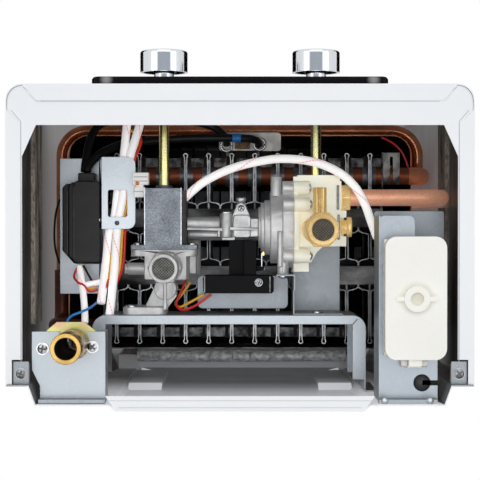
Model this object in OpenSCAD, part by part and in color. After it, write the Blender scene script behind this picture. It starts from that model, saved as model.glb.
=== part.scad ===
// Tankless gas water heater, wall hung, open at the bottom.
// Millimetres. X to the right, Y towards the wall, Z up. Y = 0 is the wall,
// Z = 0 is the lower rim of the cover, X = 0 is the middle of the casing.

/* [Casing] */
// Width of the cover
case_w = 330; // [310:1:360]
// Depth from the wall to the front face
case_d = 230; // [224:1:250]
// Height of the cover
case_h = 560; // [540:1:640]
// Thickness of the cover sheet
sheet = 1; // [0.8:0.1:1.5]
// Radius of the two upright front corners
corner_r = 12; // [8:1:16]
// Depth of the folded flange along the front
front_flange = 12; // [9:0.5:15]
// Width of the folded flange along each side
side_flange = 10.7; // [8:0.1:12]
// Reach of the stiffening frame behind the front face
frame_reach = 29; // [24:1:34]
// Width of the stiffening frame along each side
frame_side = 11.6; // [10:0.1:13]
// Distance from the wall to the cover's rear edge
rear_gap = 18.5; // [16:0.5:22]
// Gap between sheet parts that sit inside one another
sheet_gap = 0.2; // [0.1:0.05:0.4]
// Thickness of the fibre strips on the side walls
pad_t = 3; // [2:0.5:4]
// Lower edge of the fibre strips
pad_z = 122; // [118:1:126]
// Height of the fibre strips
pad_h = 42; // [36:1:48]

/* [Back plate] */
// Thickness of the back plate
back_t = 1; // [0.8:0.1:1.5]
// How far the back plate hangs below the rim
back_drop = 5; // [3:0.5:8]
// Height of the hanging ear above the cover
ear_h = 24; // [20:1:34]
// Depth of the lip along the bottom of the back plate
lip_d = 10.8; // [8:0.2:13]
// Half width of the part that touches the wall
pad_half = 87; // [80:1:92]
// Depth of the step beside that part
step_d = 3.8; // [3:0.1:4.5]
// Depth of the raised field behind the combustion chamber
field_d = 17; // [14:0.5:18]
// Lower edge of that raised field
field_z = 253; // [245:1:260]
// Hole for a wall screw
hang_r = 3.5; // [2.5:0.1:4]
// Distance between the two upper wall screws
hang_pitch = 140; // [110:1:150]

/* [Control panel and knobs] */
// Width of the black front panel
panel_w = 222; // [200:1:240]
// Height of the black front panel
panel_h = 84; // [70:1:96]
// Thickness of the black front panel
panel_t = 11; // [9:0.5:13]
// Corner radius of the panel
panel_r = 12; // [8:1:20]
// Rounding of the panel's front edge
panel_edge = 3; // [1:0.5:4]
// Height of the knob axes
knob_z = 100; // [98:1:104]
// Distance of each knob from the middle
knob_x = 58.4; // [56:0.1:61]
// Diameter of a knob
knob_d = 37; // [30:0.5:44]
// Length of a knob
knob_l = 16.8; // [14:0.2:22]
// Diameter of the knob's hub
hub_d = 15.4; // [13:0.2:18]
// Gap between the panel and a knob's skirt
knob_gap = 6.6; // [5:0.2:9]
// Diameter of the control shafts
shaft_d = 8; // [6:0.1:9]
// Radial clearance of a turning shaft
run_gap = 0.05; // [0.02:0.01:0.09]
// Clearance around a shaft in a sheet
pass_gap = 1.5; // [1:0.25:3]

/* [Burner] */
// Height of the burner's lower edge above the rim
burner_z = 185; // [184:1:190]
// Number of burner bars
bar_count = 12; // [10:1:12]
// Distance between burner bars
bar_pitch = 19.06; // [17:0.02:19.4]
// Sideways shift of the burner from the middle
burner_x = 2.65; // [0:0.05:4]
// Height of a burner bar
bar_h = 55; // [48:1:60]
// Thickness of the burner sheet
bar_sheet = 0.55; // [0.4:0.05:0.7]
// Thickness of a bar where its two sheets run side by side
bar_t = 2.6; // [2.4:0.1:3.2]
// Radius of the rolled bead at a bar's ends
bead_r = 2; // [1.8:0.1:2.4]
// Distance of the two rows of air mouths from the burner's middle
mouth_off = 23.5; // [22:0.5:25]
// Length of a mouth with its flares
mouth_l = 28.4; // [26:0.2:31]
// Length of a mouth between its flares
mouth_flat = 21; // [18:0.2:22]
// Depth of the gas rail
rail_h = 12; // [9:0.5:13]
// Width of the gas rail
rail_w = 15; // [12:0.2:16]

/* [Exchanger and pipes] */
// Outer diameter of the water pipes
pipe_d = 12.7; // [11:0.1:13.2]
// Outer diameter of the coil around the chamber
coil_d = 9.5; // [8:0.1:10]
// Outer diameter of the pipe across the burner
cross_d = 14.6; // [12:0.2:15]
// Height of the lower turn of the coil
coil_z = 236; // [232:1:242]
// Distance between the two turns
coil_pitch = 54; // [40:1:60]
// Gap between the coil and the side of the casing
coil_gap = 9.3; // [8:0.1:12]
// Gap between the coil and the front of the casing
coil_front_gap = 12.8; // [11:0.2:15]
// Lower edge of the combustion chamber
chamber_z = 210; // [209:1:214]
// Upper edge of the combustion chamber
chamber_top = 398; // [370:1:410]
// Height of the finned exchanger
core_h = 64; // [50:1:76]
// Diameter of the flue collar
flue_d = 110; // [90:1:120]
// Height of the flue collar above the cover
flue_rise = 40; // [25:1:60]

/* [Fittings] */
// Outside diameter of the half inch pipe threads
thread_d = 21.3; // [20:0.1:22]
// Bore of the fittings
fitting_bore = 15; // [12:0.2:16]
// Lower end of the hot outlet
hot_z = -38; // [-46:1:-30]
// Lower end of the cold inlet
cold_z = -42; // [-50:1:-32]
// Lower end of the gas inlet
gas_z = 38; // [30:1:42]

/* [Brackets] */
// Thickness of the bracket sheet
bracket_t = 1.2; // [1:0.1:1.5]
// Height of the outlet and battery brackets above the rim
bracket_z = 10; // [8:0.5:12]
// Height of the near edge of the bridge
bridge_z = 75; // [73:1:77]
// Depth of the bridge from front edge to back edge
bridge_l = 57; // [52:1:60]
// Bend radius of the bridge
bridge_r = 10; // [7:0.5:13]

/* [Battery box] */
// Width of the battery cover
batt_w = 43; // [40:0.5:44]
// Length of the battery cover
batt_l = 86; // [80:0.5:88]
// Thickness of the battery cover
lid_t = 13; // [11:0.5:14]
// Depth of the battery box behind its cover
box_h = 72; // [68:1:76]
// Wall of the battery box
wall = 2; // [1.5:0.1:2.5]
// Diameter of a battery cell
cell_d = 34; // [33:0.1:34.5]
// Length of a battery cell
cell_l = 61; // [59:0.5:61.5]

/* [Hidden] */
$fn = 48;
eps = 0.01;

// Casing lines
half_w = case_w / 2;
front_y = -case_d;
inner_x = half_w - sheet;
inner_y = front_y + sheet;
cover_rear = -rear_gap;
frame_z = sheet;
mitre = 9.8;
notch_x = 4.4;
notch_y = 17.3;
frame_cut_x = 9.9;
frame_cut_y = 22;
wing_x = half_w - 16;
wing_run = 5;
slope_d = 5.5;
slope_h = 15;
foot_d = 5.5;
foot_z0 = 119;
foot_z1 = 242;
rib_half = 47;
rib_d = 2.6;
rib_z = 198;

// Screw tabs at the lower rear corners
tab_z = 3;
tab_w = 10.8;
tab_x = half_w - 10.4;
tab_y = -25.8;
screw_r = 1.9;
screw_gap = 0.25;
head_r = 4.2;
head_h = 2.2;
ear_t = 1;
ear_w = 16;
ear_l = 14;

// Combustion chamber, coil and exchanger
coil_r = coil_d / 2;
coil_x = inner_x - coil_gap - coil_r;
coil_y = inner_y + coil_front_gap + coil_r;
braze_gap = 0.3;
chamber_x = coil_x - coil_r - braze_gap;
chamber_front = coil_y + coil_r + braze_gap;
chamber_rear = -field_d - 9;
chamber_t = 1;
riser_x = inner_x - pad_t - 1.2 - pipe_d / 2;
cold_riser_x = inner_x - 1.4 - pipe_d / 2;
cross_riser_x = inner_x - pad_t - 0.8 - cross_d / 2;
core_top = chamber_top + core_h;
boss_z = chamber_top + core_h / 2;
boss_h = 14;
hood_top = case_h - sheet - 14;
collar_t = 1;
collar_flange = 8;
flue_y = (chamber_front + chamber_rear) / 2;
coil_bend = 22;
coil_leg_y = coil_y + 34;
left_riser_y = -151.6;
chamber_r = coil_bend - coil_r - braze_gap;
cross_left = 14.9 - chamber_x;

// Burner
frame_side_gap = 1;
bar_front = chamber_front + 18.6;
bar_rear = chamber_rear - 7.9;
bar_mid = (bar_front + bar_rear) / 2 - 1.8;
mouth_half = bar_pitch / 2 - 0.15;
flare = [[0, 0], [0.2, 0.08], [0.32, 0.3], [0.42, 0.58], [0.65, 0.86], [1, 1]];
burner_half = bar_count * bar_pitch / 2 + frame_side_gap;
comb_z = burner_z + 11;
comb_w = 7.5;
comb_gap = 0.2;
spine_w = 2;
combs = [bar_front + 1.8, bar_rear - 10.7];
plate_t = 1;
cross_z = burner_z + 15;
cross_y = bar_front + 16.6;
bore_gap = 0.6;
collar_l = 5.6;
rail_top = burner_z - 2;
rail_front = bar_mid - mouth_off;
rail_rear = bar_mid + mouth_off;
nozzle_r = 2.2;
nozzle_h = 4;
function bar_x(i) = burner_x + (i - (bar_count - 1) / 2) * bar_pitch;

// Valve group: the axis of the push rod joins both valves
valve_y = -128.6;
valve_z = knob_z;
rod_r = 2.5;
finger_x = 17.3;
finger_t = 1.4;
finger_end = -107;
lever_x = 16.7;
lever_y = -97;
lever_top = -109;
lever_pin_r = 1;
arm_far = valve_z + 14;
knob_seat = front_y - panel_t - knob_gap - knob_l + 5.2;
gas_x = -knob_x;
water_x = knob_x;
inlet_x = -56;
inlet_y = -98.7;
sol_w = 28.6;
sol_half_z = 18;
sol_top = -158.6;
sol_base = -115.4;
sol_sheet = 1.6;
joint_y = -112;
flange_y = -106.6;
flange_left = -82.8;
flange_right = -32.6;
flange_near = valve_z - 18;
flange_far = valve_z + 12;
neck_x0 = 14.1;
link_near = valve_z - 14;
seal_x = 40.8;
disc_r = 31;
rings = [[14.1, 15.6], [15.9, 18.9], [18.7, 20.9], [23.2, 27.6], [32.2, 31]];
lugs = [[-30, -13.7], [-17.4, -28], [21.3, -25.2], [-17.4, 28], [21.3, 25.2]];
lug_r = 5.4;
lug_x = 52.6;
body_near = valve_z - 26;
body_far = valve_z + 16;
socket_near = valve_z - 10;
drain_near = valve_z - 20;
out_x = 77.4;
drain_x = 80.5;
clip_x = 73.8;
cap_top = -168.6;
inlet_cx = 56.2;
inlet_cy = -127.5;
out_y = -151.5;
drain_y = -129;
bridge_top = -62.3;
bridge_left = -111.5;
bridge_right = 95;
bridge_flange = 6.7;
bridge_leg_flange = 10;
bridge_foot = 11;
side_face = -step_d - back_t;

// Water valve's foot and its bracket
post_x0 = 28.7;
post_x1 = 36;
tab_top = -93.4;
support_x0 = 40.2;
support_x1 = 78.2;
support_z = 80;
support_far = 118;
support_top = -114;

// Microswitch and its plate
switch_x0 = 3;
switch_x1 = 12.4;
switch_top = -118.7;
box_x0 = -28;
box_x1 = 25.6;
box_top = -92.4;
box_base = -78.7;
box_near = 80;
box_far = 99;

// Igniter
ign_z = 130;
ign_left = -chamber_x + chamber_t;
ign_wall_x = -106.7;
ign_front = -183;
ign_rear = -76;
wing_right = -80.5;
wing_z = 100;
wing_rear = -127.4;
ign_box_z = 102.5;
ign_box_x0 = -138;
ign_box_x1 = -108.2;
ign_box_y0 = -164.5;
ign_box_y1 = -100.4;

// Electrodes
elec_z = 195;
elec_x = [-10.9, 15.9];
elec_y = chamber_front + 9.4;
elec_r = 4.6;

// Hot outlet
hot_x = -118.4;
hot_y = -46.6;
bracket_top = -55;
bracket_x0 = -148;
bracket_x1 = -95.6;
hot_flange_t = 3;

hot_joint_y = hot_y - 45;

// Battery box, whose cover is hinged along its rear edge
batt_x = half_w - 42.2;
batt_y = -79.6;
lid_z = -10;
hinge_z = lid_z + lid_t + 1.6;
hinge_y = batt_y + batt_l / 2 + 3.4;
hinge_r = 1.5;
knuckle_r = 3;
lid_gap = 0.5;
box_w = batt_w - 5;
box_l = batt_l - 8;
box_z = lid_z + lid_t + lid_gap;
plate_x0 = half_w - 66.4;
plate_x1 = half_w - 24.5;
key_x = plate_x1 - 11.2;
plate_top = -137.4;
plate_flange = 38;

// Routes of the held leads and sleeves, from the igniter and the valves
lead_r = 3.2;
sleeve_r = 3.2;
wire_r = 1;
lead_a = [[-119.4, -172.2, 115], [-118.5, -176, 116], [-115.4, -180.5, 119], [-110, -186.5, 125],
  [-103.6, -190.6, 134],
  [-98, -193.8, 144], [-84.8, -197, 155], [-76.5, -198, 160], [-59.3, -200, 166], [-32.7, -201.4, 171],
    [0, -201.5, 174],
  [12, -200.5, 179], [15.9, -197, 187]];
lead_b = [[-122, -172.2, 122.5], [-121.6, -178, 124], [-120.6, -186.5, 127], [-119.4, -195, 132],
  [-117.5, -203, 139],
  [-112, -211, 148], [-100, -215.5, 158], [-80, -217.5, 168], [-50, -217, 177], [-24, -212, 183],
    [-12.6, -203, 180.5],
  [-10.9, -197.4, 186.4]];
sleeve_arc = [[-38, -156, 92], [-28, -163, 88], [-15, -170, 86], [-1.5, -175, 85], [13, -178.5, 85],
  [28, -180.7, 85],
  [45, -180.2, 85], [61, -177, 85], [76.5, -169.5, 84], [87.5, -159, 82], [94.5, -145, 78],
    [97, -131, 72], [97, -118, 66]];
sleeve_a = [[-86, -222, 112], [-88, -208, 112], [-90.5, -184, 112], [-95, -158, 112], [-97.5, -138, 112],
  [-101.5, -126, 110], [-103.5, -101, 102], [-106, -71, 88]];
sleeve_b = [[-76, -222, 104.5], [-77.5, -208, 104.5], [-84, -187, 104.4], [-87.5, -170, 104.4],
  [-91, -150, 104.4],
  [-95, -128, 104.4], [-96.5, -98, 98], [-99.5, -66.5, 94]];
sleeve_c = [[-124.4, -97.8, 108], [-122.2, -88, 100], [-119.6, -75, 91], [-118, -64, 84], [-117.5, -56.6, 80]];
wire_gap = 0.25;
wire_yellow = [for (i = [2 : 6]) sleeve_b[i] + [sleeve_r + wire_r + wire_gap, 0, 0]];
wire_red = [for (p = wire_yellow) p + [2 * wire_r + wire_gap, 0, 0]];
loop_red = [[-42, -84.5, 104], [-45, -79, 100], [-48, -70, 96], [-44, -65.5, 94], [-34, -68, 94],
  [-30, -75, 93], [-29.2, -83, 92]];
loop_yellow = [[-38.5, -84.5, 106], [-42, -78, 104], [-44.5, -71, 101], [-40, -67.5, 98],
  [-34, -72, 96.5], [-29.2, -80, 96.5]];
wire_blue = [[-109.6, -71, 88], [-114, -67.6, 75], [-120, -65, 70], [-126, -62.5, 69], [-129.5, -58.5, 68],
  [-128.8, -53, 67], [-126.8, -49.4, 66]];

// Places a straight bar from point a to point b along one axis
module block(a, b) {
  translate(a) cube(b - a);
}

// Round bar along X, Y or Z
module bar_along_x(x0, x1, y, z, r) {
  translate([x0, y, z]) rotate([0, 90, 0]) cylinder(r = r, h = x1 - x0);
}
module bar_along_y(x, y0, y1, z, r) {
  translate([x, y0, z]) rotate([-90, 0, 0]) cylinder(r = r, h = y1 - y0);
}
module bar_along_z(x, y, z0, z1, r) {
  translate([x, y, z0]) cylinder(r = r, h = z1 - z0);
}

// Rectangle with round corners, from corner a to corner b
module round_rect(a, b, r) {
  translate([a.x + r, a.y]) square([b.x - a.x - 2 * r, b.y - a.y]);
  translate([a.x, a.y + r]) square([b.x - a.x, b.y - a.y - 2 * r]);
  for (x = [a.x + r, b.x - r], y = [a.y + r, b.y - r]) translate([x, y]) circle(r);
}

// Pipe of straight runs and round bends through a list of points
function unit(v) = v / norm(v);
function turn(d0, d1) = acos(max(-1, min(1, d0 * d1)));
module pipe_run(a, b, r) {
  d = unit(b - a);
  u = unit(abs(d.z) > 0.9 ? cross(d, [1, 0, 0]) : cross(d, [0, 0, 1]));
  v = cross(d, u);
  multmatrix([[u.x, v.x, d.x, a.x], [u.y, v.y, d.y, a.y], [u.z, v.z, d.z, a.z], [0, 0, 0, 1]])
    cylinder(r = r, h = norm(b - a));
}
module pipe_bend(p, d0, d1, bend, r) {
  angle = turn(d0, d1);
  n = unit(d1 - d0 * (d0 * d1));
  t = bend * tan(angle / 2);
  c = p - d0 * t + n * bend;
  k = cross(-n, d0);
  multmatrix([[-n.x, d0.x, k.x, c.x], [-n.y, d0.y, k.y, c.y], [-n.z, d0.z, k.z, c.z], [0, 0, 0, 1]])
    rotate_extrude(angle = angle) translate([bend, 0]) circle(r);
}
module pipe(points, bends, r) {
  n = len(points);
  d = [for (i = [0 : n - 2]) unit(points[i + 1] - points[i])];
  t = [for (i = [0 : n - 1]) i == 0 || i == n - 1 ? 0 : bends[i - 1] * tan(turn(d[i - 1], d[i]) / 2)];
  for (i = [0 : n - 2]) pipe_run(points[i] + d[i] * t[i], points[i + 1] - d[i] * t[i + 1], r);
  for (i = [1 : n - 2]) pipe_bend(points[i], d[i - 1], d[i], bends[i - 1], r);
}

// Lead or sleeve: one tube swept along a smooth curve through its points
function smooth(p, steps) = [for (i = [0 : len(p) - 2], k = [0 : steps - 1])
    let (u = k / steps, a = p[max(i - 1, 0)], b = p[i], c = p[i + 1], d = p[min(i + 2, len(p) - 1)])
    0.5 * (2 * b + (c - a) * u + (2 * a - 5 * b + 4 * c - d) * u * u + (3 * b - a - 3 * c + d) * u * u * u)];
function route(p, steps) = concat(smooth(p, steps), [p[len(p) - 1]]);
module lead(points, r, sides, steps) {
  q = route(points, steps);
  n = len(q);
  rings = [for (i = [0 : n - 1])
      let (d = unit(q[min(i + 1, n - 1)] - q[max(i - 1, 0)]), u = unit(cross(d, [0.35, 0.1, 1])),
        v = cross(d, u))
      for (k = [0 : sides - 1]) q[i] + r * (cos(360 * k / sides) * u + sin(360 * k / sides) * v)];
  quads = [for (i = [0 : n - 2], k = [0 : sides - 1])
      let (a = i * sides + k, b = i * sides + (k + 1) % sides)
        each [[a, a + sides, b], [b, a + sides, b + sides]]];
  ends = [[for (k = [0 : sides - 1]) k], [for (k = [0 : sides - 1]) n * sides - 1 - k]];
  polyhedron(rings, concat(quads, ends));
}

// Pan head screw pointing along +Z, its head below the origin
module screw(r, shank, len) {
  cylinder(r = shank, h = len);
  head(r);
}
module head(r) {
  rotate_extrude() {
    translate([0, -head_h * 0.4]) square([r, head_h * 0.4]);
    intersection() {
      translate([0, r * 1.3 - head_h]) circle(r * 1.3);
      translate([0, -head_h]) square([r * 0.92, head_h * 0.6 + eps]);
    }
  }
}

// Outline of the cover seen from below: flat rear edge, two round front corners
module cover_outline(inset, rear) {
  r = corner_r - inset;
  x = half_w - inset;
  y = front_y + inset;
  translate([-x, y + r]) square([2 * x, rear - y - r]);
  translate([r - x, y]) square([2 * (x - r), rear - y]);
  for (s = [-1, 1]) translate([s * (x - r), y + r]) circle(r);
}

module front_cover() {
  color("white") difference() {
    union() {
      linear_extrude(case_h) difference() {
        cover_outline(0, cover_rear);
        cover_outline(sheet, cover_rear + 1);
      }
      translate([0, 0, case_h - sheet]) linear_extrude(sheet) cover_outline(sheet / 2, cover_rear);
      linear_extrude(sheet) {
        polygon([[corner_r - half_w, front_y + sheet / 2], [half_w - corner_r, front_y + sheet / 2],
          [half_w - corner_r - mitre, front_y + front_flange],
            [corner_r + mitre - half_w, front_y + front_flange]]);
        for (s = [-1, 1]) polygon([[s * (half_w - sheet / 2), front_y + corner_r + 6],
          [s * (half_w - side_flange), front_y + 28],
            [s * (half_w - side_flange), cover_rear - notch_y],
              [s * (half_w - notch_x), cover_rear - notch_y],
            [s * (half_w - notch_x), cover_rear], [s * (half_w - sheet / 2), cover_rear]]);
      }
      for (x = [-half_w + sheet / 2, half_w - sheet / 2 - ear_w]) {
        block([x, tab_y - ear_l / 2, tab_z + back_t], [x + ear_w, tab_y + ear_l / 2,
          tab_z + back_t + ear_t]);
      }
    }
    for (s = [-1, 1]) {
      bar_along_y(s * knob_x, front_y - 1, front_y + sheet + 1, knob_z, shaft_d / 2 + pass_gap);
      bar_along_z(s * tab_x, tab_y, tab_z, tab_z + 6, screw_r + screw_gap);
    }
    bar_along_z(0, flue_y, case_h - sheet - 1, case_h + 1, flue_d / 2 + 2);
  }
}

module bottom_frame() {
  cut_x = half_w - frame_side;
  cut_y = front_y + frame_reach;
  color("white") translate([0, 0, frame_z]) linear_extrude(sheet) difference() {
    cover_outline(sheet + sheet_gap, cover_rear - notch_y);
    polygon([[frame_cut_x - cut_x, cut_y], [cut_x - frame_cut_x, cut_y], [cut_x, cut_y + frame_cut_y],
      [cut_x, 0], [-cut_x, 0], [-cut_x, cut_y + frame_cut_y]]);
  }
}

module panel_edge_profile(a, b) {
  round_rect([a, 0], [b, panel_t], panel_edge);
  square_w = b - a;
  translate([a, 0]) square([square_w, panel_t - panel_edge]);
}
module control_panel() {
  z0 = knob_z - panel_h / 2;
  color("black") difference() {
    intersection() {
      translate([0, front_y, 0]) rotate([90, 0, 0]) linear_extrude(panel_t)
        round_rect([-panel_w / 2, z0], [panel_w / 2, z0 + panel_h], panel_r);
      translate([0, front_y, z0 - 1]) mirror([0, 1, 0]) linear_extrude(panel_h + 2)
        panel_edge_profile(-panel_w / 2, panel_w / 2);
      translate([-panel_w / 2 - 1, front_y, knob_z]) rotate([90, 0, 90]) mirror([1, 0, 0])
        linear_extrude(panel_w + 2)
        rotate(90) mirror([0, 1, 0]) panel_edge_profile(-panel_h / 2, panel_h / 2);
    }
    for (s = [-1, 1]) bar_along_y(s * knob_x, front_y - panel_t - 1, front_y + 1, knob_z,
      shaft_d / 2 + pass_gap);
  }
}

// Knob on its shaft: skirt, rounded face, hub and blind bore
module knob(x) {
  skirt = front_y - panel_t - knob_gap;
  r = knob_d / 2;
  round = 2.4;
  translate([x, skirt, knob_z]) rotate([90, 0, 0]) difference() {
    union() {
      rotate_extrude() {
        square([r - round, knob_l]);
        square([r, knob_l - round]);
        translate([r - round, knob_l - round]) circle(round);
      }
      translate([0, 0, -knob_gap + 0.5]) cylinder(d = hub_d, h = knob_gap);
    }
    rotate_extrude() translate([hub_d / 2, -eps]) square([r - 2.6 - hub_d / 2, 6]);
    translate([0, 0, -knob_gap]) cylinder(r = shaft_d / 2 + run_gap, h = knob_gap + knob_l - 5);
  }
}
module gas_knob() {
  color("silver") knob(gas_x);
}
module water_knob() {
  color("silver") knob(water_x);
}
module gas_shaft() {
  color("khaki") bar_along_y(gas_x, knob_seat, sol_top + sol_sheet + 9, knob_z, shaft_d / 2);
}
module water_shaft() {
  color("khaki") bar_along_y(water_x, knob_seat, cap_top + 9, knob_z, shaft_d / 2);
}

// Back plate: a shallow tray seen from above, lip below, hanging ear above
function back_line(t) = [[-half_w + sheet, cover_rear + back_t - t],
  [-wing_x + t * 0.7, cover_rear + back_t - t],
  [-wing_x + wing_run + t * 0.7, -step_d - t], [-pad_half - 5 + t * 0.4, -step_d - t],
    [-pad_half + t * 0.4, -t]];
function mirrored(p) = [for (i = [len(p) - 1 : -1 : 0]) [-p[i].x, p[i].y]];
module back_outline() {
  rear = concat(back_line(0), mirrored(back_line(0)));
  face = concat(back_line(back_t), mirrored(back_line(back_t)));
  polygon(concat(rear, [for (i = [len(face) - 1 : -1 : 0]) face[i]]));
}
module pressed_foot(half, inset) {
  rise = foot_d - inset;
  translate([-half, 0, 0]) rotate([90, 0, 90]) linear_extrude(2 * half)
    polygon([[inset - 0.5, foot_z0 - 2 * inset], [-rise, foot_z0 + 11 + inset],
      [-rise, foot_z1 - 10 - inset],
      [inset - 0.5, foot_z1 + inset]]);
}
module field_slope(inset) {
  half = pad_half - 1 - inset;
  rear = inset > 0 ? 1 : -0.5;
  translate([-half, 0, 0]) rotate([90, 0, 90]) linear_extrude(2 * half)
    polygon([[rear, field_z - slope_h - inset], [inset - slope_d, field_z + inset / 5],
      [inset - slope_d, field_z + back_t + inset], [rear, field_z + back_t + inset]]);
}
module back_plate() {
  field_x = 106;
  field_top = case_h - 40;
  foot_x = 74.8;
  foot_half = 13.2;
  color("gainsboro") difference() {
    union() {
      translate([0, 0, -back_drop]) linear_extrude(case_h + back_drop) back_outline();
      translate([0, 0, -back_drop]) linear_extrude(back_t)
        polygon([[-pad_half - 7.5, -lip_d], [-pad_half, 0], [pad_half, 0], [pad_half + 7.5, -lip_d]]);
      block([-pad_half, -back_t, case_h - 1], [pad_half, 0, case_h + ear_h]);
      block([-field_x, -field_d, field_z], [field_x, -step_d, field_top]);
      translate([0, 0, field_z]) linear_extrude(field_top - field_z)
        polygon([[-pad_half - 5, -step_d], [-pad_half, 0], [pad_half, 0], [pad_half + 5, -step_d]]);
      translate([-rib_half, 0, 0]) rotate([90, 0, 90]) linear_extrude(2 * rib_half)
        polygon([[-0.5, rib_z - 18], [-rib_d, rib_z - 6], [-rib_d, rib_z + 6], [-0.5, rib_z + 18]]);
      field_slope(0);
      for (s = [-1, 1]) {
        translate([s * foot_x, 0, 0]) pressed_foot(foot_half, 0);
        translate([s * tab_x - tab_w / 2, tab_y - 8.5, tab_z])
          cube([tab_w, cover_rear + back_t - tab_y + 8.5, back_t]);
      }
    }
    block([-field_x + back_t, -field_d + back_t, field_z + back_t],
      [field_x - back_t, 1, field_top - back_t]);
    field_slope(back_t);
    for (s = [-1, 1]) {
      translate([s * foot_x, 0, 0]) pressed_foot(foot_half - back_t, back_t);
      bar_along_z(s * tab_x, tab_y, tab_z - 1, tab_z + 3, screw_r + screw_gap);
      bar_along_y(s * hang_pitch / 2, -3, 2, case_h + ear_h / 2, hang_r);
    }
  }
}

module casing_screws() {
  color("silver") for (s = [-1, 1]) translate([s * tab_x, tab_y, tab_z]) screw(head_r, screw_r, 7);
}

module side_pads() {
  rear = cover_rear - 34;
  color("tan") difference() {
    for (s = [-1, 1]) {
      x0 = s > 0 ? inner_x - pad_t : -inner_x;
      block([x0, front_y + corner_r + 6, pad_z], [x0 + pad_t, rear, pad_z + pad_h]);
    }
    block([0, out_y - pipe_d / 2 - 1, pad_z - 1], [inner_x + 1, out_y + pipe_d / 2 + 1, pad_z + pad_h + 1]);
  }
}

// Sheet box open at both ends, used for the chamber and the exchanger shell
module shell_box(z0, z1) {
  translate([0, 0, z0]) linear_extrude(z1 - z0) difference() {
    round_rect([-chamber_x, chamber_front], [chamber_x, chamber_rear], chamber_r);
    round_rect([chamber_t - chamber_x, chamber_front + chamber_t],
      [chamber_x - chamber_t, chamber_rear - chamber_t], chamber_r - chamber_t);
  }
}
module combustion_chamber() {
  color("peru") shell_box(chamber_z, chamber_top);
}
module hood_shape(inset, z0, lid) {
  wide = flue_d + 2 * collar_flange;
  hull() {
    for (x = [-1, 1], y = [chamber_front + chamber_r, chamber_rear - chamber_r]) {
      translate([x * (chamber_x - chamber_r), y, z0]) cylinder(r = chamber_r - inset, h = 1 - lid);
    }
    translate([0, flue_y, hood_top - 1]) cylinder(d = wide - 12 * inset, h = 1 + inset);
  }
}
module flue_hood() {
  baffle = 60;
  color("silver") {
    difference() {
      hood_shape(0, core_top, 0);
      hood_shape(1, core_top - 0.5, 0);
    }
    intersection() {
      hood_shape(0.5, core_top, 0);
      block([-chamber_x, flue_y - baffle, core_top + 2], [chamber_x, flue_y + baffle, core_top + 3]);
    }
  }
}
module flue_collar() {
  r = flue_d / 2;
  color("silver") difference() {
    union() {
      bar_along_z(0, flue_y, hood_top, hood_top + collar_t, r + collar_flange);
      bar_along_z(0, flue_y, hood_top, case_h + flue_rise, r);
    }
    bar_along_z(0, flue_y, hood_top - 1, case_h + flue_rise + 1, r - collar_t);
  }
}
module heat_exchanger() {
  fins = 22;
  step = 2 * (chamber_x - 8) / (fins - 1);
  rows = [cross_y, flue_y, chamber_rear - 36];
  color("peru") {
    shell_box(chamber_top, core_top);
    for (i = [0 : fins - 1]) {
      x = 8 - chamber_x + i * step;
      block([x - 0.5, chamber_front + chamber_t, chamber_top + 6],
        [x + 0.5, chamber_rear - chamber_t, core_top - 12]);
    }
    for (y = rows) bar_along_x(-chamber_x, chamber_x, y, boss_z - 6, 8);
    bar_along_z(cross_left, cross_y, chamber_top, boss_z - 6, cross_d / 2 + 1.5);
    block([chamber_x, out_y - 10, boss_z], [cold_riser_x + pipe_d / 2 + 1, out_y + 10, boss_z + boss_h]);
    block([chamber_x, coil_leg_y - 6, boss_z], [coil_x + coil_r + 1, coil_leg_y + 6, boss_z + boss_h]);
    block([-coil_x - coil_r - 1, left_riser_y - 7, boss_z], [-chamber_x, left_riser_y + 7,
      boss_z + boss_h]);
  }
}

module heating_coil() {
  top = coil_z + coil_pitch;
  color("chocolate") {
    pipe([[cross_riser_x, cross_y, coil_z - 13], [cross_riser_x, cross_y, coil_z],
      [cross_riser_x, coil_y, coil_z],
      [-riser_x, coil_y, coil_z], [-riser_x, hot_joint_y, coil_z]], [12, coil_bend, coil_bend], coil_r);
    pipe([[coil_x, coil_leg_y, boss_z], [coil_x, coil_leg_y, top], [coil_x, coil_y, top],
      [-coil_x, coil_y, top],
      [-coil_x, left_riser_y, top], [-coil_x, left_riser_y, boss_z]], [10, coil_bend, coil_bend, 12],
        coil_r);
  }
}

module cross_pipe() {
  color("chocolate") pipe([[cross_left, cross_y, chamber_top], [cross_left, cross_y, cross_z],
    [cross_riser_x, cross_y, cross_z], [cross_riser_x, cross_y, coil_z - 13]], [12, 12], cross_d / 2);
}

// Spring clip that holds the cross pipe to the burner's side plate
module pipe_clip() {
  x0 = burner_x + burner_half + plate_t;
  w = 14;
  slit = 1.1;
  r = cross_d / 2;
  mid = x0 + w / 2;
  color("silver") difference() {
    union() {
      bar_along_x(x0, x0 + w, cross_y, cross_z, r + 1.4);
      block([x0, cross_y - r - 12, cross_z - r - 1.4], [x0 + w, cross_y, cross_z - r - 0.2]);
    }
    bar_along_x(x0 - 1, x0 + w + 1, cross_y, cross_z, r + 0.1);
    block([x0 - 1, cross_y, cross_z - 5], [x0 + w + 1, cross_y + 30, cross_z + 5]);
    block([mid - slit, cross_y - r - 8.6, cross_z - r - 3], [mid + slit, cross_y + 30, cross_z]);
  }
}

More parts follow.
